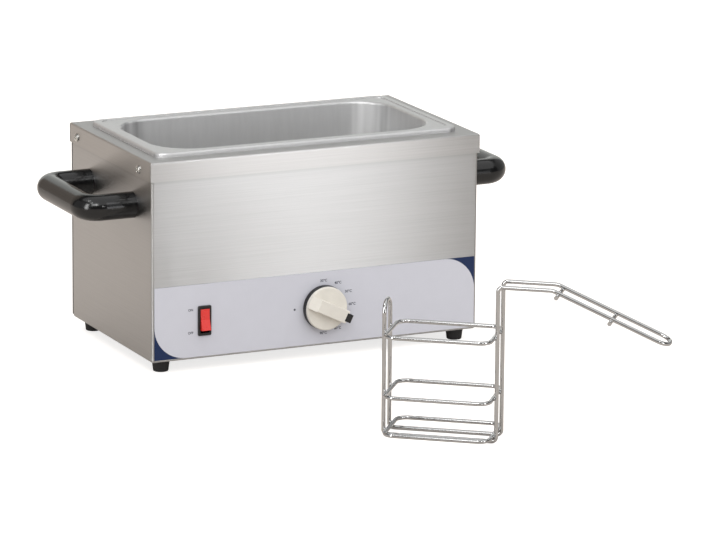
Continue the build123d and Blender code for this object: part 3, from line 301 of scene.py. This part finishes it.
def brushed_steel(name, base, roughness, seam=None):
    """Stainless sheet brushed along its length: streaks run along x on the front, back and top, and along y
    on the two sides. Highlights spread across the streaks. Streaks are drawn coarser than real grit, to
    show. Where another sheet overlaps it down to a seam's height, a painted shade darkens it towards the
    seam, standing in for the shadow under that sheet's edge."""
    material, tree = blank(name)
    steel = look().steel
    stroke, width = steel.brush_length / MM, steel.brush_width / MM
    normal = add(tree, "ShaderNodeNewGeometry").outputs["Normal"]
    facing = add(tree, "ShaderNodeSeparateXYZ", {0: normal}).outputs
    sizes = {}
    for way in "XYZ":
        sizes[way] = add(tree, "ShaderNodeMath", {0: facing[way]}, operation="ABSOLUTE").outputs[0]
    fold = {"From Min": FOLD_START, "From Max": FOLD_END}
    side = add(tree, "ShaderNodeMapRange", {"Value": sizes["X"]}, fold).outputs[0]
    level = add(tree, "ShaderNodeMapRange", {"Value": sizes["Z"]}, fold).outputs[0]
    lengthwise = grain(tree, (stroke, width, width), FINE_DETAIL)
    sideways = grain(tree, (width, stroke, width), FINE_DETAIL)
    streaks = {"Factor": side, NUMBER_A: lengthwise, NUMBER_B: sideways}
    streak = add(tree, "ShaderNodeMix", streaks).outputs[0]
    front = add(tree, "ShaderNodeMath", {0: sizes["Y"], 1: level}, operation="ADD").outputs[0]
    brush = add(tree, "ShaderNodeCombineXYZ", {"X": front, "Y": facing["X"]}).outputs[0]
    across = add(tree, "ShaderNodeVectorMath", {0: normal, 1: brush}, operation="CROSS_PRODUCT").outputs[0]
    tangent = add(tree, "ShaderNodeVectorMath", {0: across}, operation="NORMALIZE").outputs[0]
    seam_shade = None
    # Painted shade under the cap's skirt, darkening across the shade's width up to the seam
    if seam is not None:
        place = add(tree, "ShaderNodeTexCoord").outputs["Object"]
        height = add(tree, "ShaderNodeSeparateXYZ", {0: place}).outputs["Z"]
        ends = {"From Min": seam - steel.seam_shade_width, "From Max": seam}
        seam_shade = add(tree, "ShaderNodeMapRange", {"Value": height}, ends).outputs[0]
    finish(tree, streak, streak, base, spread=0.05, roughness=roughness, sway=0.03, depth_mm=0.005,
           links={"Tangent": tangent}, inputs={"Metallic": 1.0, "Anisotropic": 1.0}, seam_shade=seam_shade)
    return material


def plain_metal(name, base, roughness, cell_mm, depth_mm=0.003):
    """Metal whose tone, gloss and level vary over cells of a given size: rolled, plated or bare."""
    material, tree = blank(name)
    cells = grain(tree, cell_mm, FINE_DETAIL)
    finish(tree, cells, cells, base, spread=0.05, roughness=roughness, sway=0.1 * roughness,
           depth_mm=depth_mm, inputs={"Metallic": 1.0})
    return material


def drawn_steel(name, base, roughness):
    """Deep-drawn sheet: faint marks down its walls, and broad bright and dark streaks down its upright
    corners, partly draw marks where the die squeezes and burnishes the sheet and partly painted reflection
    of light in the hollow corners. A corner is where the surface faces between x and y."""
    material, tree = blank(name)
    fine = grain(tree, FINE_MARK_MM, FINE_DETAIL)
    ends = {"To Min": FAINT_LOW, "To Max": FAINT_HIGH}
    faint = add(tree, "ShaderNodeMapRange", {"Value": fine}, ends).outputs[0]
    # Corner streaks: partly draw marks, partly painted reflection of light in the hollow corners
    corner_streaks = grain(tree, CORNER_STREAK_MM, BROAD_DETAIL)
    normal = add(tree, "ShaderNodeNewGeometry").outputs["Normal"]
    facing = add(tree, "ShaderNodeSeparateXYZ", {0: normal}).outputs
    both = {0: facing["X"], 1: facing["Y"]}
    product = add(tree, "ShaderNodeMath", both, operation="MULTIPLY").outputs[0]
    turned = add(tree, "ShaderNodeMath", {0: product}, operation="ABSOLUTE").outputs[0]
    ends = {"From Min": CORNER_START, "From Max": CORNER_END}
    corner = add(tree, "ShaderNodeMapRange", {"Value": turned}, ends).outputs[0]
    marks_and_streaks = add(tree, "ShaderNodeMix", {"Factor": corner, NUMBER_A: faint, NUMBER_B: corner_streaks}).outputs[0]
    finish(tree, marks_and_streaks, fine, base, spread=0.22, roughness=roughness, sway=0.06, depth_mm=0.0015,
           inputs={"Metallic": 1.0})
    return material


def moulded(name, base, roughness, grain_mm, depth_mm, clouding=0.04, **extra):
    """Moulded plastic or rubber: an even colour with slight clouding, and the mould's fine grain."""
    material, tree = blank(name)
    cloud = grain(tree, (CLOUD_MM,) * 3)
    skin = grain(tree, (grain_mm,) * 3)
    finish(tree, cloud, skin, base, clouding, roughness, clouding * roughness, depth_mm,
           inputs={"IOR": PLASTIC_IOR, **extra})
    return material


# Pieces

def dress(material, *nodes):
    """Gives CAD nodes a finish."""
    for name in nodes:
        slots = frame["nodes"][name].data.materials
        slots.clear()
        slots.append(material)


def piece_of(name, mesh, material, body):
    """New piece that rides on a body, with its finish."""
    piece = bpy.data.objects.new(name, mesh)
    bpy.context.scene.collection.objects.link(piece)
    mesh.materials.append(material)
    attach(piece, body)
    return piece


def skins(name, grids):
    """Closed skins in one mesh. Each grid holds rows of points: neighbours make quads, rows wrap round, and
    one face closes the first row and one the last."""
    grids = np.asarray(grids)
    copies, rows, columns, _ = grids.shape
    index = np.arange(copies * rows * columns).reshape(copies, rows, columns)
    beside = np.roll(index, -1, axis=2)
    corners = [index[:, :-1], beside[:, :-1], beside[:, 1:], index[:, 1:]]
    quads = np.stack(corners, axis=-1).reshape(-1, 4)
    ends = np.concatenate([index[:, 0, ::-1], index[:, -1]])
    mesh = bpy.data.meshes.new(name)
    mesh.from_pydata(grids.reshape(-1, 3).tolist(), [], quads.tolist() + ends.tolist())
    mesh.shade_smooth()
    mesh.set_sharp_from_angle(angle=SHARP_EDGE)
    return mesh


def ring_angles(count):
    """Evenly spaced angles once round, the last short of the first."""
    return np.linspace(0, 2 * pi, count, endpoint=False)


def upright(axis):
    """Two directions square to an axis."""
    axis = np.asarray(axis, float)
    first = np.cross(axis, (0.0, 0.0, 1.0))
    first = first / np.linalg.norm(first)
    return first, np.cross(axis, first)


def cross_head_screw(seat, axis, head_r, head_h, shank_r, shank_l):
    """Pan-head screw: a profile of radius and height turned about the axis. It runs from the shank's tip up
    the shank, out under the head, up its rim and over its dome, whose radius and height follow powers. The
    height is lowered inside two crossed bars with soft edges, to make the recess."""
    tip_r, rim_h, crown = 0.02 * shank_r, 0.45 * head_h, 0.995
    shrink, swell = 1.2, 2.6
    arm, soft, reach, depth = 0.13 * head_r, 0.07 * head_r, 0.62 * head_r, 0.55 * head_h
    turn = ring_angles(SCREW_SIDES)
    dome = np.linspace(0, 1, DOME_RINGS)
    stem_radius = [tip_r, shank_r, shank_r, head_r, head_r]
    stem_height = [-shank_l, -shank_l, 0, 0, rim_h]
    dome_radius = head_r * (1 - crown * dome ** shrink)
    dome_height = rim_h + (head_h - rim_h) * (1 - (1 - dome) ** swell)
    radius = np.concatenate([stem_radius, dome_radius])[:, None]
    height = np.concatenate([stem_height, dome_height])[:, None]
    u, v = radius * np.cos(turn), radius * np.sin(turn)
    inside = np.clip((arm + soft - np.minimum(abs(u), abs(v))) / soft, 0, 1)
    inside = inside * np.clip((reach - radius) / soft, 0, 1)
    inside[:len(stem_radius)] = 0
    level = height - depth * inside
    first, second = upright(axis)
    across = u[..., None] * first + v[..., None] * second
    return np.asarray(seat) + across + level[..., None] * np.asarray(axis, float)


def bead(centre, axis, radius, half_length):
    """Weld bead: an ellipsoid about an axis, from latitude and longitude, with tiny faces for its poles."""
    pole = 0.495 * pi
    latitude = np.linspace(-pole, pole, BEAD_RINGS)[:, None, None]
    turn = ring_angles(BEAD_SIDES)[:, None]
    first, second = upright(axis)
    ring = radius * np.cos(latitude) * (np.cos(turn) * first + np.sin(turn) * second)
    return np.asarray(centre) + ring + half_length * np.sin(latitude) * np.asarray(axis)


def middle(node):
    """Middle of a CAD node's box."""
    low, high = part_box(node)
    return np.array((low + high) / 2)


def points(node):
    """Every corner point of a CAD node's mesh."""
    mesh = frame["nodes"][node].data
    flat = np.empty(3 * len(mesh.vertices), np.float32)
    mesh.vertices.foreach_get("co", flat)
    return flat.reshape(-1, 3)


def joint_place(name):
    """Where a joint's axis stands."""
    return Vector(next(joint["pos_m"] for joint in frame["joints"] if joint["name"] == name))


def lettering(name, words, height, centre, material):
    """Words printed on the film: an outline, thickened by a share of its height, made a thin mesh, stood up
    on the front and centred on a place."""
    outline = bpy.data.curves.new(name, "FONT")
    outline.body = words
    outline.align_x = "CENTER"
    outline.align_y = "CENTER"
    outline.size = height / CAPITAL_SHARE
    outline.extrude = INK_HALF
    outline.offset = STROKE_SHARE * height
    shown = bpy.data.objects.new(name + "_outline", outline)
    bpy.context.scene.collection.objects.link(shown)
    bpy.context.view_layer.update()
    mesh = bpy.data.meshes.new_from_object(shown.evaluated_get(bpy.context.evaluated_depsgraph_get()))
    bpy.data.objects.remove(shown)
    bpy.data.curves.remove(outline)
    mesh.materials.clear()
    mesh.name = name
    mesh.transform(Matrix.Translation(centre) @ Matrix.Rotation(pi / 2, 4, "X"))
    return piece_of(name, mesh, material, "warmer")


# Operators

class WARMER_OT_casing(bpy.types.Operator):
    """Finish the casing, back, base and cap in brushed steel"""
    bl_idname = "warmer.casing"
    bl_label = "Casing"

    def execute(self, context):
        steel = look().steel
        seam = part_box("top_cap")[0].z
        # Sheet brushed with fine grit: one soft upright band of light on each wall, and streaks along it,
        # and a painted shade just under the cap's skirt
        casing = brushed_steel("brushed stainless steel", steel.casing, roughness=0.31, seam=seam)
        dress(casing, "casing_wrap", "rear_panel", "base_plate")
        # The cap has a colour of its own, a touch warmer than the casing's
        cap = brushed_steel("brushed stainless steel of the cap", steel.cap, roughness=0.31)
        dress(cap, "top_cap")
        return {"FINISHED"}


class WARMER_OT_bath(bpy.types.Operator):
    """Finish the lift-out pan and the well that it hangs in"""
    bl_idname = "warmer.bath"
    bl_label = "Bath"

    def execute(self, context):
        steel = look().steel
        # Deep-drawn satin: soft reflections, with draw marks down the walls, and down the corners streaks
        # of draw marks and painted reflection
        dress(drawn_steel("satin stainless steel", steel.pan, roughness=0.56), "bath_pan")
        # Mill finish: dull grey with the rolling mill's streaks
        rolled = {"roughness": 0.45, "cell_mm": (3.0, 3.0, 30.0)}
        mill = plain_metal("mill-finish stainless steel", steel.inner, **rolled)
        dress(mill, "heating_well", "element_clamps")
        return {"FINISHED"}


class WARMER_OT_film(bpy.types.Operator):
    """Finish both layers of the control film and print the dial and the switch words"""
    bl_idname = "warmer.film"
    bl_label = "Control film"

    def execute(self, context):
        prints = look().prints
        # Polyester overlay printed on its back, with a fine velvet face
        velvet = {"roughness": 0.42, "grain_mm": 0.7, "depth_mm": 0.004, "clouding": 0.01}
        dress(moulded("grey polyester film", prints.field, **velvet), "film_grey")
        dress(moulded("navy polyester film", prints.corners, IOR=1.4, **velvet), "film_navy")
        # Flat ink, a little uneven from the screen
        ink = moulded("screen-print ink", prints.ink, roughness=0.5, grain_mm=0.5, depth_mm=0.002)
        knob, switch = joint_place("knob_turn"), joint_place("rocker_tilt")
        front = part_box("film_grey")[0].y - INK_HALF
        self.print_numbers(prints, knob, front, ink)
        self.print_words(prints, switch, front, ink)
        self.print_off_mark(prints, knob, front, ink)
        return {"FINISHED"}

    def print_numbers(self, prints, knob, front, ink):
        """The dial's numbers on an ellipse from above the knob round its right to below it."""
        for step, number in enumerate(DIAL_NUMBERS):
            turn = step * DIAL_STEP
            across, up = prints.dial_reach * sin(turn), prints.dial_rise * cos(turn)
            place = Vector((knob.x + across, front, knob.z + up))
            lettering(f"dial_{number}", f"{number}°C", prints.digit_height, place, ink)

    def print_words(self, prints, switch, front, ink):
        """ON and OFF to the left of the switch."""
        for word, side in (("ON", 1), ("OFF", -1)):
            place = Vector((switch.x - prints.word_offset, front, switch.z + side * prints.word_rise))
            lettering(f"switch_{word.lower()}", word, prints.word_height, place, ink)

    def print_off_mark(self, prints, knob, front, ink):
        """The off mark to the left of the knob: a disc as thick as the ink."""
        turn = ring_angles(DOT_SIDES)
        ring = prints.dot_radius * np.stack([np.sin(turn), 0 * turn, np.cos(turn)], axis=-1)
        place = np.array((knob.x - prints.dial_reach, front, knob.z))
        rows = [place + ring + (0, depth, 0) for depth in (INK_HALF, -INK_HALF)]
        piece_of("dial_off_dot", skins("dial_off_dot", [rows]), ink, "warmer")


class WARMER_OT_switch(bpy.types.Operator):
    """Finish the rocker switch"""
    bl_idname = "warmer.switch"
    bl_label = "Rocker switch"

    def execute(self, context):
        plastic = look().plastic
        # Glass-filled and slightly satin
        housing = moulded("black polyamide", plastic.black, roughness=0.3, grain_mm=0.5, depth_mm=0.004)
        dress(housing, "switch_housing")
        # Clear red polycarbonate over a lamp, with a little light of its own
        glow = {"Emission Color": (*plastic.red, 1), "Emission Strength": 0.06}
        clear = {"roughness": 0.28, "grain_mm": 2.0, "depth_mm": 0.002}
        dress(moulded("red polycarbonate", plastic.red, **clear, **glow), "switch_rocker")
        return {"FINISHED"}


class WARMER_OT_knob(bpy.types.Operator):
    """Finish the knob's cap and base"""
    bl_idname = "warmer.knob"
    bl_label = "Thermostat knob"

    def execute(self, context):
        plastic = look().plastic
        # Spark-eroded mould: a fine grain that keeps the highlights soft
        eroded = {"grain_mm": 0.6, "depth_mm": 0.006}
        dress(moulded("ivory ABS", plastic.ivory, roughness=0.36, **eroded), "knob_cap")
        dress(moulded("black ABS", plastic.black, roughness=0.4, **eroded), "knob_base")
        return {"FINISHED"}


class WARMER_OT_handles(bpy.types.Operator):
    """Finish both bow handles"""
    bl_idname = "warmer.handles"
    bl_label = "Handles"

    def execute(self, context):
        # Pressed phenolic: deep gloss with the slight waviness of a polished mould
        polished = {"roughness": 0.18, "grain_mm": 5.0, "depth_mm": 0.003, "IOR": 1.52}
        gloss = moulded("gloss black phenolic", look().plastic.handle, **polished)
        dress(gloss, "handle_left", "handle_right")
        return {"FINISHED"}


class WARMER_OT_feet(bpy.types.Operator):
    """Finish the four rubber feet"""
    bl_idname = "warmer.feet"
    bl_label = "Feet"

    def execute(self, context):
        # Matt, with a dusty grain
        rubber = moulded("black rubber", look().plastic.rubber, roughness=0.6, grain_mm=0.8, depth_mm=0.012)
        dress(rubber, "foot_front_left", "foot_front_right", "foot_rear_right", "foot_rear_left")
        return {"FINISHED"}


class WARMER_OT_screws(bpy.types.Operator):
    """Make cross-head screws on the cap and the back, and finish the other fasteners"""
    bl_idname = "warmer.screws"
    bl_label = "Screws"

    def execute(self, context):
        # Bright zinc: a pale, faintly cloudy shine
        zinc = plain_metal("zinc-plated steel", look().steel.zinc, roughness=0.28, cell_mm=(2.5,) * 3)
        dress(zinc, "well_rivets", "clamp_studs", "clamp_nuts", "thermostat_shaft", "thermostat_screws",
              "handle_screws", "foot_screws", "foot_nuts", "block_screws", "earth_stud", "earth_nut")
        low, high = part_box("cap_screws")
        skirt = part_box("top_cap")[1].x
        head_r, head_h = (high.z - low.z) / 2, high.x - skirt
        shape = head_r, head_h, head_r / 2, look().steel.shank_length
        places = [(side, y) for side in (-1, 1) for y in (low.y + head_r, high.y - head_r)]
        screw_z = (high.z + low.z) / 2
        grids = [cross_head_screw((side * skirt, y, screw_z), (side, 0, 0), *shape) for side, y in places]
        cross = skins("cap_screws_cross", grids)
        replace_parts(piece_of("cap_screws_cross", cross, zinc, "warmer"), "cap_screws")
        low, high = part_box("rear_panel_screws")
        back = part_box("rear_panel")[1].y
        columns = low.x + head_r, high.x - head_r
        places = [(x, z) for x in columns for z in (low.z + head_r, high.z - head_r)]
        grids = [cross_head_screw((x, back, z), (0, 1, 0), *shape) for x, z in places]
        cross = skins("rear_screws_cross", grids)
        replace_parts(piece_of("rear_screws_cross", cross, zinc, "warmer"),
                    "rear_panel_screws")
        return {"FINISHED"}


class WARMER_OT_gland(bpy.types.Operator):
    """Finish the cable gland on the back"""
    bl_idname = "warmer.gland"
    bl_label = "Cable gland"

    def execute(self, context):
        # Satin moulding with a fine grain
        nylon = moulded("black nylon", look().plastic.black, roughness=0.42, grain_mm=0.8, depth_mm=0.008)
        dress(nylon, "gland_body", "gland_cap_nut", "gland_lock_nut")
        return {"FINISHED"}


class WARMER_OT_heater(bpy.types.Operator):
    """Finish the heating element, the thermostat and the cut-out"""
    bl_idname = "warmer.heater"
    bl_label = "Heater"

    def execute(self, context):
        inside = look().inside
        # Steel sheath oxidised by heat: dull and brown-grey
        sheath = plain_metal("oxidised heater sheath", inside.sheath, roughness=0.5, cell_mm=(9.0,) * 3)
        dress(sheath, "heating_element")
        # Drawn copper kept bright: a red-gold shine with soft highlights
        copper = plain_metal("copper tube", inside.copper, roughness=0.3, cell_mm=(4.0,) * 3)
        dress(copper, "sensor_bulb", "capillary_tube")
        # Nickel plating: a warm, slightly cloudy shine
        nickel = plain_metal("nickel-plated brass", inside.nickel, roughness=0.35, cell_mm=(3.0,) * 3)
        dress(nickel, "overheat_cutout")
        # Pressed phenolic, unpolished and dark
        body = moulded("dark phenolic", inside.phenolic, roughness=0.5, grain_mm=0.8, depth_mm=0.008)
        dress(body, "thermostat_body")
        return {"FINISHED"}


class WARMER_OT_wiring(bpy.types.Operator):
    """Finish the terminal block and the leads"""
    bl_idname = "warmer.wiring"
    bl_label = "Wiring"

    def execute(self, context):
        inside = look().inside
        # Unfilled and a little waxy
        block = moulded("cream polyamide", inside.cream, roughness=0.5, grain_mm=0.8, depth_mm=0.008)
        dress(block, "terminal_block")
        # Insulation of the leads: soft PVC with a slight sheen
        soft = {"roughness": 0.45, "grain_mm": 0.8, "depth_mm": 0.004}
        dress(moulded("brown PVC", inside.live, **soft), "lead_live", "lead_switch_to_thermostat",
              "lead_thermostat_to_cutout", "lead_cutout_to_element")
        dress(moulded("blue PVC", inside.neutral, **soft), "lead_neutral")
        dress(moulded("green PVC", inside.earth, **soft), "lead_earth")
        return {"FINISHED"}


class WARMER_OT_holder(bpy.types.Operator):
    """Finish the wire holder and add the weld beads where its wires cross"""
    bl_idname = "warmer.holder"
    bl_label = "Wire holder"

    def execute(self, context):
        steel = look().steel
        hoops = "holder_hoop_bottom", "holder_hoop_lower", "holder_hoop_upper"
        braces = "holder_brace_inner", "holder_brace_outer"
        # Bright plating on drawn wire: hard light and dark lines along it, a little soft from the drawing
        plated = {"roughness": 0.07, "cell_mm": (2.0, 2.0, 12.0), "depth_mm": 0.001}
        chrome = plain_metal("chrome-plated wire", steel.chrome, **plated)
        dress(chrome, "holder_carrier_end", "holder_carrier_arm", *hoops, *braces)
        shape = steel.weld_radius, steel.weld_height
        sides = -steel.rod_span / 2, steel.rod_span / 2
        welds = [*self.hoop_welds(hoops, braces, sides), *self.brace_welds(braces, sides)]
        beads = skins("holder_weld_beads", [bead(place, axis, *shape) for place, axis in welds])
        piece_of("holder_weld_beads", beads, chrome, "holder")
        return {"FINISHED"}

    def hoop_welds(self, hoops, braces, sides):
        """Place and axis of the welds between the hoops and both pairs of rods: where a hoop's outer edge,
        along the line from its middle to the brace, meets a rod, half the rods' span to either side."""
        centres = [middle(name) for name in hoops]
        along = middle(braces[1]) - centres[0]
        along = np.array((along[0], along[1], 0)) / np.hypot(along[0], along[1])
        across = np.cross((0, 0, 1), along)
        reach = (points(hoops[0]) @ along).max() - centres[0] @ along
        steps = [end * along + side * across for end in (-reach, reach) for side in sides]
        return [(centre + step, along) for centre in centres for step in steps]

    def brace_welds(self, braces, sides):
        """Place and axis of the welds between each brace and the two wires of the arm above it: a wire's
        radius square to the arm, which runs parallel to the line from one brace to the other, half the
        rods' span to either side."""
        inner, outer = middle(braces[0]), middle(braces[1])
        slope = (outer - inner) / np.linalg.norm(outer - inner)
        across = np.cross((0, 0, 1), slope)
        across = across / np.linalg.norm(across)
        square = np.cross(slope, across)
        low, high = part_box("holder_hoop_upper")
        wire_r = (high.z - low.z) / 2
        steps = [side * across + wire_r * square for side in sides]
        return [(centre + step, square) for centre in (inner, outer) for step in steps]


# Stage

def studio_world(room, sky):
    """White for the camera, a dim room for metal and gloss to mirror, and an even light for the rest."""
    world = bpy.data.worlds.new("studio")
    world.use_nodes = True
    tree = world.node_tree
    tree.nodes.clear()
    path = add(tree, "ShaderNodeLightPath").outputs
    lights = {COLOUR_A: (*sky, 1), COLOUR_B: (*room, 1)}
    mirrored = add(tree, "ShaderNodeMix", {"Factor": path["Is Glossy Ray"]}, lights, data_type="RGBA")
    unseen = {"Factor": path["Is Camera Ray"], COLOUR_A: mirrored.outputs[COLOUR_OUT]}
    seen = add(tree, "ShaderNodeMix", unseen, {COLOUR_B: (*WHITE, 1)}, data_type="RGBA")
    background = add(tree, "ShaderNodeBackground", {"Color": seen.outputs[COLOUR_OUT]})
    add(tree, "ShaderNodeOutputWorld", {"Surface": background.outputs[0]})
    bpy.context.scene.world = world


def floor_finish(base, sheen):
    """Matt white table, lifted to white where the camera sees it, so that only its shadow shows. Where
    metal mirrors it, a painted glow lifts it towards a warm white, rising from the front to the back."""
    material, tree = blank("matt white table")
    path = add(tree, "ShaderNodeLightPath").outputs
    glossy = path["Is Glossy Ray"]
    # Painted glow seen only in reflections, rising from the front of the table to its back
    place = add(tree, "ShaderNodeTexCoord").outputs["Object"]
    depth = add(tree, "ShaderNodeSeparateXYZ", {0: place}).outputs["Y"]
    ends = {"From Min": GLOW_RAMP_FRONT, "From Max": GLOW_RAMP_BACK, "To Min": FRONT_LIFT, "To Max": BACK_LIFT}
    rise = add(tree, "ShaderNodeMapRange", {"Value": depth}, ends).outputs[0]
    mirrored = add(tree, "ShaderNodeMath", {0: glossy, 1: rise}, operation="MULTIPLY").outputs[0]
    parts = {0: path["Is Camera Ray"], 2: mirrored}
    lift = add(tree, "ShaderNodeMath", parts, {1: SEEN_LIFT}, operation="MULTIPLY_ADD")
    tints = {COLOUR_A: (*WHITE, 1), COLOUR_B: (*sheen, 1)}
    tint = add(tree, "ShaderNodeMix", {"Factor": glossy}, tints, data_type="RGBA").outputs[COLOUR_OUT]
    matt = add(tree, "ShaderNodeBsdfDiffuse", None, {"Color": (*base, 1)})
    glow = add(tree, "ShaderNodeEmission", {"Strength": lift.outputs[0], "Color": tint})
    both = add(tree, "ShaderNodeAddShader", {0: matt.outputs[0], 1: glow.outputs[0]})
    add(tree, "ShaderNodeOutputMaterial", {"Surface": both.outputs[0]})
    return material


def flat_sheet(name, corners, material):
    """Stage object of one flat face, which isn't part of the warmer."""
    mesh = bpy.data.meshes.new(name)
    mesh.from_pydata(corners, [], [(0, 1, 2, 3)])
    mesh.materials.append(material)
    sheet = bpy.data.objects.new(name, mesh)
    bpy.context.scene.collection.objects.link(sheet)
    return sheet


def softbox(name, place, width, height, watts, tint=WHITE):
    """Flat lamp aimed at the warmer's middle, which the camera doesn't see."""
    data = bpy.data.lights.new(name, "AREA")
    data.color = tint
    data.shape = "RECTANGLE"
    data.size = width
    data.size_y = height
    data.energy = watts
    lamp = bpy.data.objects.new(name, data)
    lamp.location = place
    lamp.rotation_euler = (LAMP_AIM - Vector(place)).to_track_quat("-Z", "Y").to_euler()
    lamp.visible_camera = False
    bpy.context.scene.collection.objects.link(lamp)


def card(name, place, width, height, shade, strength=1.0, facing=(0, -1, 0)):
    """Sheet that only metal and gloss mirror, square to the way it faces."""
    material, tree = blank(name)
    glow = add(tree, "ShaderNodeEmission", None, {"Color": (*shade, 1), "Strength": strength})
    add(tree, "ShaderNodeOutputMaterial", {"Surface": glow.outputs[0]})
    first, second = upright(facing)
    across, up = width / 2 * first, height / 2 * second
    corners = [np.asarray(place) + u * across + v * up for u, v in SQUARE]
    sheet = flat_sheet(name, corners, material)
    sheet.visible_camera = False
    sheet.visible_diffuse = False
    sheet.visible_shadow = False


class WARMER_OT_stage(bpy.types.Operator):
    """Set up the floor, the lamps, the background and the camera"""
    bl_idname = "warmer.stage"
    bl_label = "Stage"

    def execute(self, context):
        stage = look().stage
        corners = [(x * TABLE_REACH, y * TABLE_REACH, TABLE_LEVEL) for x, y in SQUARE]
        flat_sheet("table", corners, floor_finish(stage.floor, stage.sheen))
        studio_world(stage.room, stage.sky)
        self.hang_lamps(stage)
        self.stand_sheets(stage)
        self.aim_camera(context.scene, stage)
        context.scene.view_settings.view_transform = "Standard"
        return {"FINISHED"}

    def hang_lamps(self, stage):
        """Small key lamps on an arc from the left, high up, to the front, lower down, a tall lamp at the
        front right and a large one overhead."""
        for step in range(KEY_LAMPS):
            turn = radians(KEY_TURN + KEY_TURN_STEP * step)
            rise = radians(KEY_RISE + KEY_RISE_STEP * step)
            way = Vector((sin(turn) * cos(rise), -cos(turn) * cos(rise), sin(rise)))
            softbox(f"key_{step}", KEY_DISTANCE * way, KEY_SIZE, KEY_SIZE, stage.key)
        softbox("band", place=(0.92, -2.1, 1.2), width=0.24, height=1.8, watts=stage.band,
                tint=stage.daylight)
        softbox("overhead", place=(0.1, -0.7, 2.6), width=4.6, height=4.6, watts=stage.top)

    def stand_sheets(self, stage):
        """Glowing sheets in front, for the front wall, the pan and the bends, and plain ones behind and at
        both sides."""
        card("low_sheet", place=(0.855, -2.1, 0.3), width=0.38, height=0.6, shade=stage.daylight,
             strength=stage.low, facing=(-0.4, 0.917, 0))
        card("fill", place=(-1.5, -2.1, 2.0), width=1.4, height=1.0, shade=WHITE, strength=stage.fill)
        card("strip", place=(-2.36, -1.1, 1.0), width=0.5, height=2.2, shade=WHITE, strength=stage.strip,
             facing=(0.906, 0.423, 0))
        card("backdrop", place=(1.1, 2.2, 1.0), width=3.0, height=2.0, shade=stage.backdrop)
        card("side_sheet", place=(-1.3, 2.2, 1.4), width=1.8, height=2.8, shade=stage.side)
        for name, side in (("wall_left", -1), ("wall_right", 1)):
            card(name, place=(2.6 * side, 0.3, 1.3), width=3.0, height=2.6, shade=stage.walls,
                 facing=(-side, 0, 0))

    def aim_camera(self, scene, stage):
        """Camera from its azimuth, elevation, roll and distance, with its lens from the focal length in
        pixels."""
        flat = cos(stage.elevation)
        back = Vector((sin(stage.azimuth) * flat, -cos(stage.azimuth) * flat, sin(stage.elevation)))
        right = (-back).cross(Vector((0, 0, 1))).normalized()
        up = back.cross(right)
        turned = right * cos(stage.roll) + up * sin(stage.roll)
        up = up * cos(stage.roll) - right * sin(stage.roll)
        data = bpy.data.cameras.new("camera")
        data.sensor_width = SENSOR_MM
        data.lens = stage.focal * SENSOR_MM / IMAGE_W
        camera = bpy.data.objects.new("camera", data)
        turn = Matrix((turned, up, back)).transposed().to_4x4()
        camera.matrix_world = Matrix.Translation(Vector(stage.target) + back * stage.distance) @ turn
        scene.collection.objects.link(camera)
        scene.camera = camera


# Add-on

STEPS = (WARMER_OT_stage, WARMER_OT_casing, WARMER_OT_bath, WARMER_OT_film, WARMER_OT_switch,
         WARMER_OT_knob, WARMER_OT_handles, WARMER_OT_feet, WARMER_OT_screws, WARMER_OT_gland,
         WARMER_OT_heater, WARMER_OT_wiring, WARMER_OT_holder)


class WARMER_PT_sidebar(bpy.types.Panel):
    """Lists the steps that finish the warmer"""
    bl_idname = "WARMER_PT_sidebar"
    bl_label = "Sauce carton warmer"
    bl_space_type = "VIEW_3D"
    bl_region_type = "UI"
    bl_category = "Warmer"

    def draw(self, context):
        for step in STEPS:
            self.layout.operator(step.bl_idname)


CLASSES = (SteelLook, PrintLook, PlasticLook, InsideLook, StageLook, WarmerLook, *STEPS, WARMER_PT_sidebar)


def register():
    """Adds the classes and the scene's settings."""
    for each in CLASSES:
        bpy.utils.register_class(each)
    bpy.types.Scene.warmer_look = PointerProperty(type=WarmerLook)


def unregister():
    """Takes the settings and the classes away again."""
    del bpy.types.Scene.warmer_look
    for each in reversed(CLASSES):
        bpy.utils.unregister_class(each)


def main():
    """Runs every step."""
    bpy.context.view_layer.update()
    register()
    for step in STEPS:
        group, name = step.bl_idname.split(".")
        getattr(getattr(bpy.ops, group), name)()


if __name__ == "__main__":
    main()
